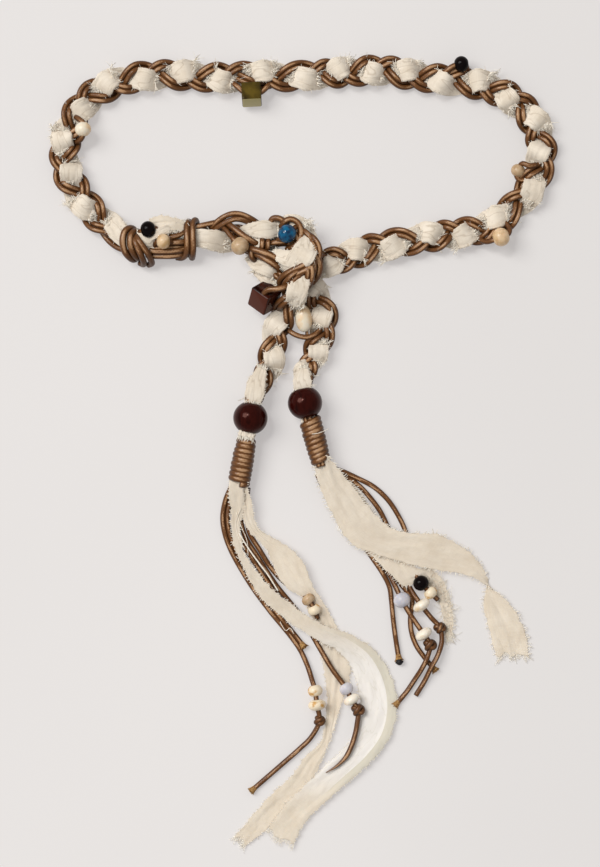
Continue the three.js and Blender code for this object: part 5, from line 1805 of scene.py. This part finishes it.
class AddBraids(TieBeltOperator, bpy.types.Operator):
    """Add both braids: cord pairs, cloth strands and the loose threads of their torn edges"""
    bl_idname = "tie_belt.braids"
    bl_label = "Braids"

    def make(self, context):
        for seed, (name, route, tufts, loose_threads) in enumerate(BRAIDS):
            cord_pair(f"{name}_waxed_cords_a", route, THIRD_CYCLE, 10 + seed, f"{name}_cord_pair_a")
            cord_pair(f"{name}_waxed_cords_b", route, -THIRD_CYCLE, 20 + seed, f"{name}_cord_pair_b")
            strand = cloth_strand(f"{name}_torn_cotton", route, 30 + seed, f"{name}_cloth")
            fray_braid(f"{name}_loose_threads", strand, tufts, loose_threads, 50 + seed)


class AddLashing(TieBeltOperator, bpy.types.Operator):
    """Add the cords on top in the join and the knot: lashing, bound cords, and the short ties of the beads"""
    bl_idname = "tie_belt.lashing"
    bl_label = "Lashing and Ties"

    def make(self, context):
        replaced = {"join_wrap_a": ["join_lashing"], "join_low_cords": ["join_cord"]}
        for name, (width, rows) in BOUND_CORDS.items():
            path = even_path([seen_at(*row) for row in rows], TOP_STEP)
            keep_above(path, width * MM / 2)
            body = Body()
            body.add_cord(path, width * MM / 2, BOUND_SIDES)
            finish_piece(body.make(name), "cord", replaced.get(name, ()))


class AddScraps(TieBeltOperator, bpy.types.Operator):
    """Add the cotton that lies on top in the join, the knot and the necks, and the end under the lashing"""
    bl_idname = "tie_belt.scraps"
    bl_label = "Cotton on Top"

    def make(self, context):
        thickness = context.scene.tie_belt_sizes.cloth_thickness
        for seed, (name, rows) in enumerate(SCRAPS.items()):
            points = [seen_at(row.x, row.y, row.z) for row in rows]
            places = even_places(points, TOP_STEP)
            line = np.array([curve_point(points, place) for place in places])
            widths = [blend_rows(rows, place, lambda row: row.width) for place in places]
            widths = np.array(widths) * GRID_STEP
            body = Body()
            thicknesses = np.full(len(line), thickness * SCRAP_SHARE)
            folded_cotton(body, line, widths, thicknesses, np.zeros(len(line)), 90 + seed)
            finish_piece(body.make(name), "cloth")
            fringe = self.fray(line, widths, thickness, seed)
            finish_piece(fringe.make(f"{name}_threads"), "thread")
        piece, threads, flat, area = torn_sheet(
            "join_free_end", JOIN_FLAP, 88, "join_cloth_end", JOIN_FRINGE,
        )
        declare_sheet(threads, "join_free_end_threads")

    def fray(self, line, widths, thickness, seed):
        """Threads at the two edges and the two ends of a scrap."""
        fringe = Body()
        draw = random.Random(95 + seed)
        ahead, across, _ = level_frames(line)
        for side in (-1, 1):
            edge = line + side * across * widths[:, None] * 0.44
            add_fringe(fringe, edge, ahead, across * side, SCRAP_FRINGE, draw, seed + side)
        for _ in range(SCRAP_END_THREADS):
            i = draw.choice((2, len(line) - 3))
            onward = ahead[i] * (1 if i > 2 else -1)
            start = line[i] + across[i] * widths[i] * draw.uniform(-0.5, 0.5) + UP * thickness * 0.35
            heading = onward + across[i] * draw.gauss(0, 0.4)
            length = draw.uniform(2, 5) * MM
            width = FRINGE_WIDTH * draw.uniform(0.4, 0.9)
            add_thread(fringe, start, heading, length, draw, rise=1.2 * MM, width=width)
        return fringe


class AddWhippings(TieBeltOperator, bpy.types.Operator):
    """Add the tight windings of cord below the wood beads"""
    bl_idname = "tie_belt.whippings"
    bl_label = "Whippings"

    def make(self, context):
        width = context.scene.tie_belt_sizes.cord_width
        for seed, (side, whipping) in enumerate(WHIPPINGS.items()):
            body = Body()
            body.add_cord(self.winding(whipping, width, seed), width * WHIPPING_CORD, CORD_SIDES)
            finish_piece(body.make(f"whipping_{side}"), "whipping", [f"coil_{side}"])

    def winding(self, whipping, width, seed):
        """The middle of a whipping's cord, turn by turn, a little uneven."""
        radius = width * WHIPPING_CORD
        top, bottom = on_plan(*whipping.top), on_plan(*whipping.bottom)
        axis = (bottom - top).normalized()
        turn = turn_from_up(axis)
        start, finish = top + axis * width / 2, bottom - axis * width / 2
        turns = (finish - start).length / (width * WHIPPING_PITCH)
        count = int(turns * TURN_STEPS)
        path = []
        for i in range(count + 1):
            share = i / count
            angle = FULL_TURN * i / TURN_STEPS
            swell = 0.5 * math.sin(math.pi * share) + 0.5 * noise_at(share * 9, seed, 0)
            outside = WHIPPING_REACH + whipping.widening * (share - 0.5) + swell
            spot = turn @ spoke(angle, outside * MM - radius)
            uneven = 0.5 * MM * noise_at(angle * 0.35, seed, 3)
            slip = axis * (whipping.lean * spot.x + uneven)
            path.append(start.lerp(finish, share) + spot + slip)
        path = np.array(path)
        keep_above(path, radius)
        return path


class AddWoodBeads(TieBeltOperator, bpy.types.Operator):
    """Add the two polished wood beads"""
    bl_idname = "tie_belt.wood_beads"
    bl_label = "Wood Beads"

    def make(self, context):
        width = context.scene.tie_belt_sizes.wood_bead_width
        for side, bead in WOOD_BEADS.items():
            name, length = f"polished_wood_bead_{side}", width * WOOD_LENGTH
            piece = drilled_ball(name, width, length, WOOD_BORE, WOOD_BALL)
            settle(piece, turned_to(bead.heading, on_plan(*bead.place)))
            finish_piece(piece, "wood", [f"wood_bead_{side}"])


class AddLoopBeads(TieBeltOperator, bpy.types.Operator):
    """Add the round beads, the long ivory bead and the two glass cubes of the braids"""
    bl_idname = "tie_belt.loop_beads"
    bl_label = "Loop Beads"

    def make(self, context):
        for bead in LOOP_BEADS:
            drilled_bead(bead, seen_at(bead.x, bead.y, bead.z), bead.heading)
        drilled_bead(NUGGET, on_plan(NUGGET.x, NUGGET.y, NUGGET.z), NUGGET.heading, NUGGET_BALL)
        for name, cube in GLASS_CUBES.items():
            piece = self.cube_bead(f"{name}_glass_cube", cube.side * MM, cube.bore_turn)
            tilted = Matrix.Rotation(cube.tilt, 4, "X") @ Matrix.Rotation(cube.roll, 4, "Y")
            turned = Matrix.Rotation(cube.spin, 4, "Z") @ tilted
            settle(piece, Matrix.Translation(on_plan(*cube.place)) @ turned)
            finish_piece(piece, name, [f"{name}_cube"])

    def cube_bead(self, name, side, bore_turn):
        """A glass cube with rounded edges and a bore turned as asked."""
        bpy.ops.object.select_all(action="DESELECT")
        bpy.ops.mesh.primitive_cube_add(size=side)
        cube = bpy.context.object
        cube.name = name
        bpy.ops.object.mode_set(mode="EDIT")
        bpy.ops.mesh.select_all(action="SELECT")
        bpy.ops.mesh.bevel(offset=side * CUBE_EASE, segments=5)
        bpy.ops.object.mode_set(mode="OBJECT")
        bpy.ops.object.select_all(action="DESELECT")
        bpy.ops.mesh.primitive_cylinder_add(
            vertices=32, radius=CUBE_BORE / 2, depth=side * 1.4, rotation=bore_turn,
        )
        drill = bpy.context.object
        only(cube)
        cut = cube.modifiers.new("bore", "BOOLEAN")
        cut.operation = "DIFFERENCE"
        cut.solver = "EXACT"
        cut.object = drill
        bpy.ops.object.modifier_apply(modifier=cut.name)
        only(drill)
        bpy.ops.object.delete()
        only(cube)
        bpy.ops.object.shade_smooth_by_angle(angle=math.radians(25))
        return cube


class AddStrips(TieBeltOperator, bpy.types.Operator):
    """Add the torn cotton strips of the tassels, with their frayed edges and the longest loose threads"""
    bl_idname = "tie_belt.strips"
    bl_label = "Tassel Strips"

    def make(self, context):
        for seed, (node, rows) in enumerate(STRIPS.items()):
            name = node.replace("strip", "torn_strip")
            fringe = SHORT_FRINGE if node.startswith("strip_left") else LONG_FRINGE
            piece, threads, flat, area = torn_sheet(name, rows, 70 + seed, node, fringe)
            if node == "strip_right_narrow":
                add_tangle(threads, TANGLE, TANGLE_THREADS, random.Random(17))
            if node == "strip_left_long":
                for width, route in STRAY_THREADS:
                    path = even_path([on_plan(*row) for row in route], 1.5 * MM)
                    threads.add_cord(path, width * MM / 2, 5)
            declare_sheet(threads, node.replace("strip", "strip_threads"))


OPERATORS = (
    AddStage, AddTasselCords, AddBraids, AddLashing, AddScraps, AddWhippings, AddWoodBeads, AddLoopBeads,
    AddStrips,
)


class TieBeltPanel(bpy.types.Panel):
    """Lists the settings and the steps that make the tie belt"""
    bl_idname = "VIEW3D_PT_tie_belt"
    bl_label = "Tie Belt"
    bl_space_type = "VIEW_3D"
    bl_region_type = "UI"
    bl_category = "Tie Belt"

    def draw(self, context):
        for group in (context.scene.tie_belt_sizes, context.scene.tie_belt_colours):
            box = self.layout.box()
            for name in group.bl_rna.properties.keys():
                if name not in ("rna_type", "name"):
                    box.prop(group, name)
        for operator in OPERATORS:
            self.layout.operator(operator.bl_idname)


CLASSES = (TieBeltSizes, TieBeltColours, *OPERATORS, TieBeltPanel)


def register():
    for one in CLASSES:
        bpy.utils.register_class(one)
    bpy.types.Scene.tie_belt_sizes = bpy.props.PointerProperty(type=TieBeltSizes)
    bpy.types.Scene.tie_belt_colours = bpy.props.PointerProperty(type=TieBeltColours)


def unregister():
    del bpy.types.Scene.tie_belt_colours
    del bpy.types.Scene.tie_belt_sizes
    for one in reversed(CLASSES):
        bpy.utils.unregister_class(one)


def main():
    register()
    make_materials(bpy.context.scene.tie_belt_colours)
    bpy.ops.tie_belt.stage()
    bpy.ops.tie_belt.tassel_cords()
    bpy.ops.tie_belt.braids()
    bpy.ops.tie_belt.lashing()
    bpy.ops.tie_belt.scraps()
    bpy.ops.tie_belt.whippings()
    bpy.ops.tie_belt.wood_beads()
    bpy.ops.tie_belt.loop_beads()
    bpy.ops.tie_belt.strips()


if __name__ == "__main__":
    main()
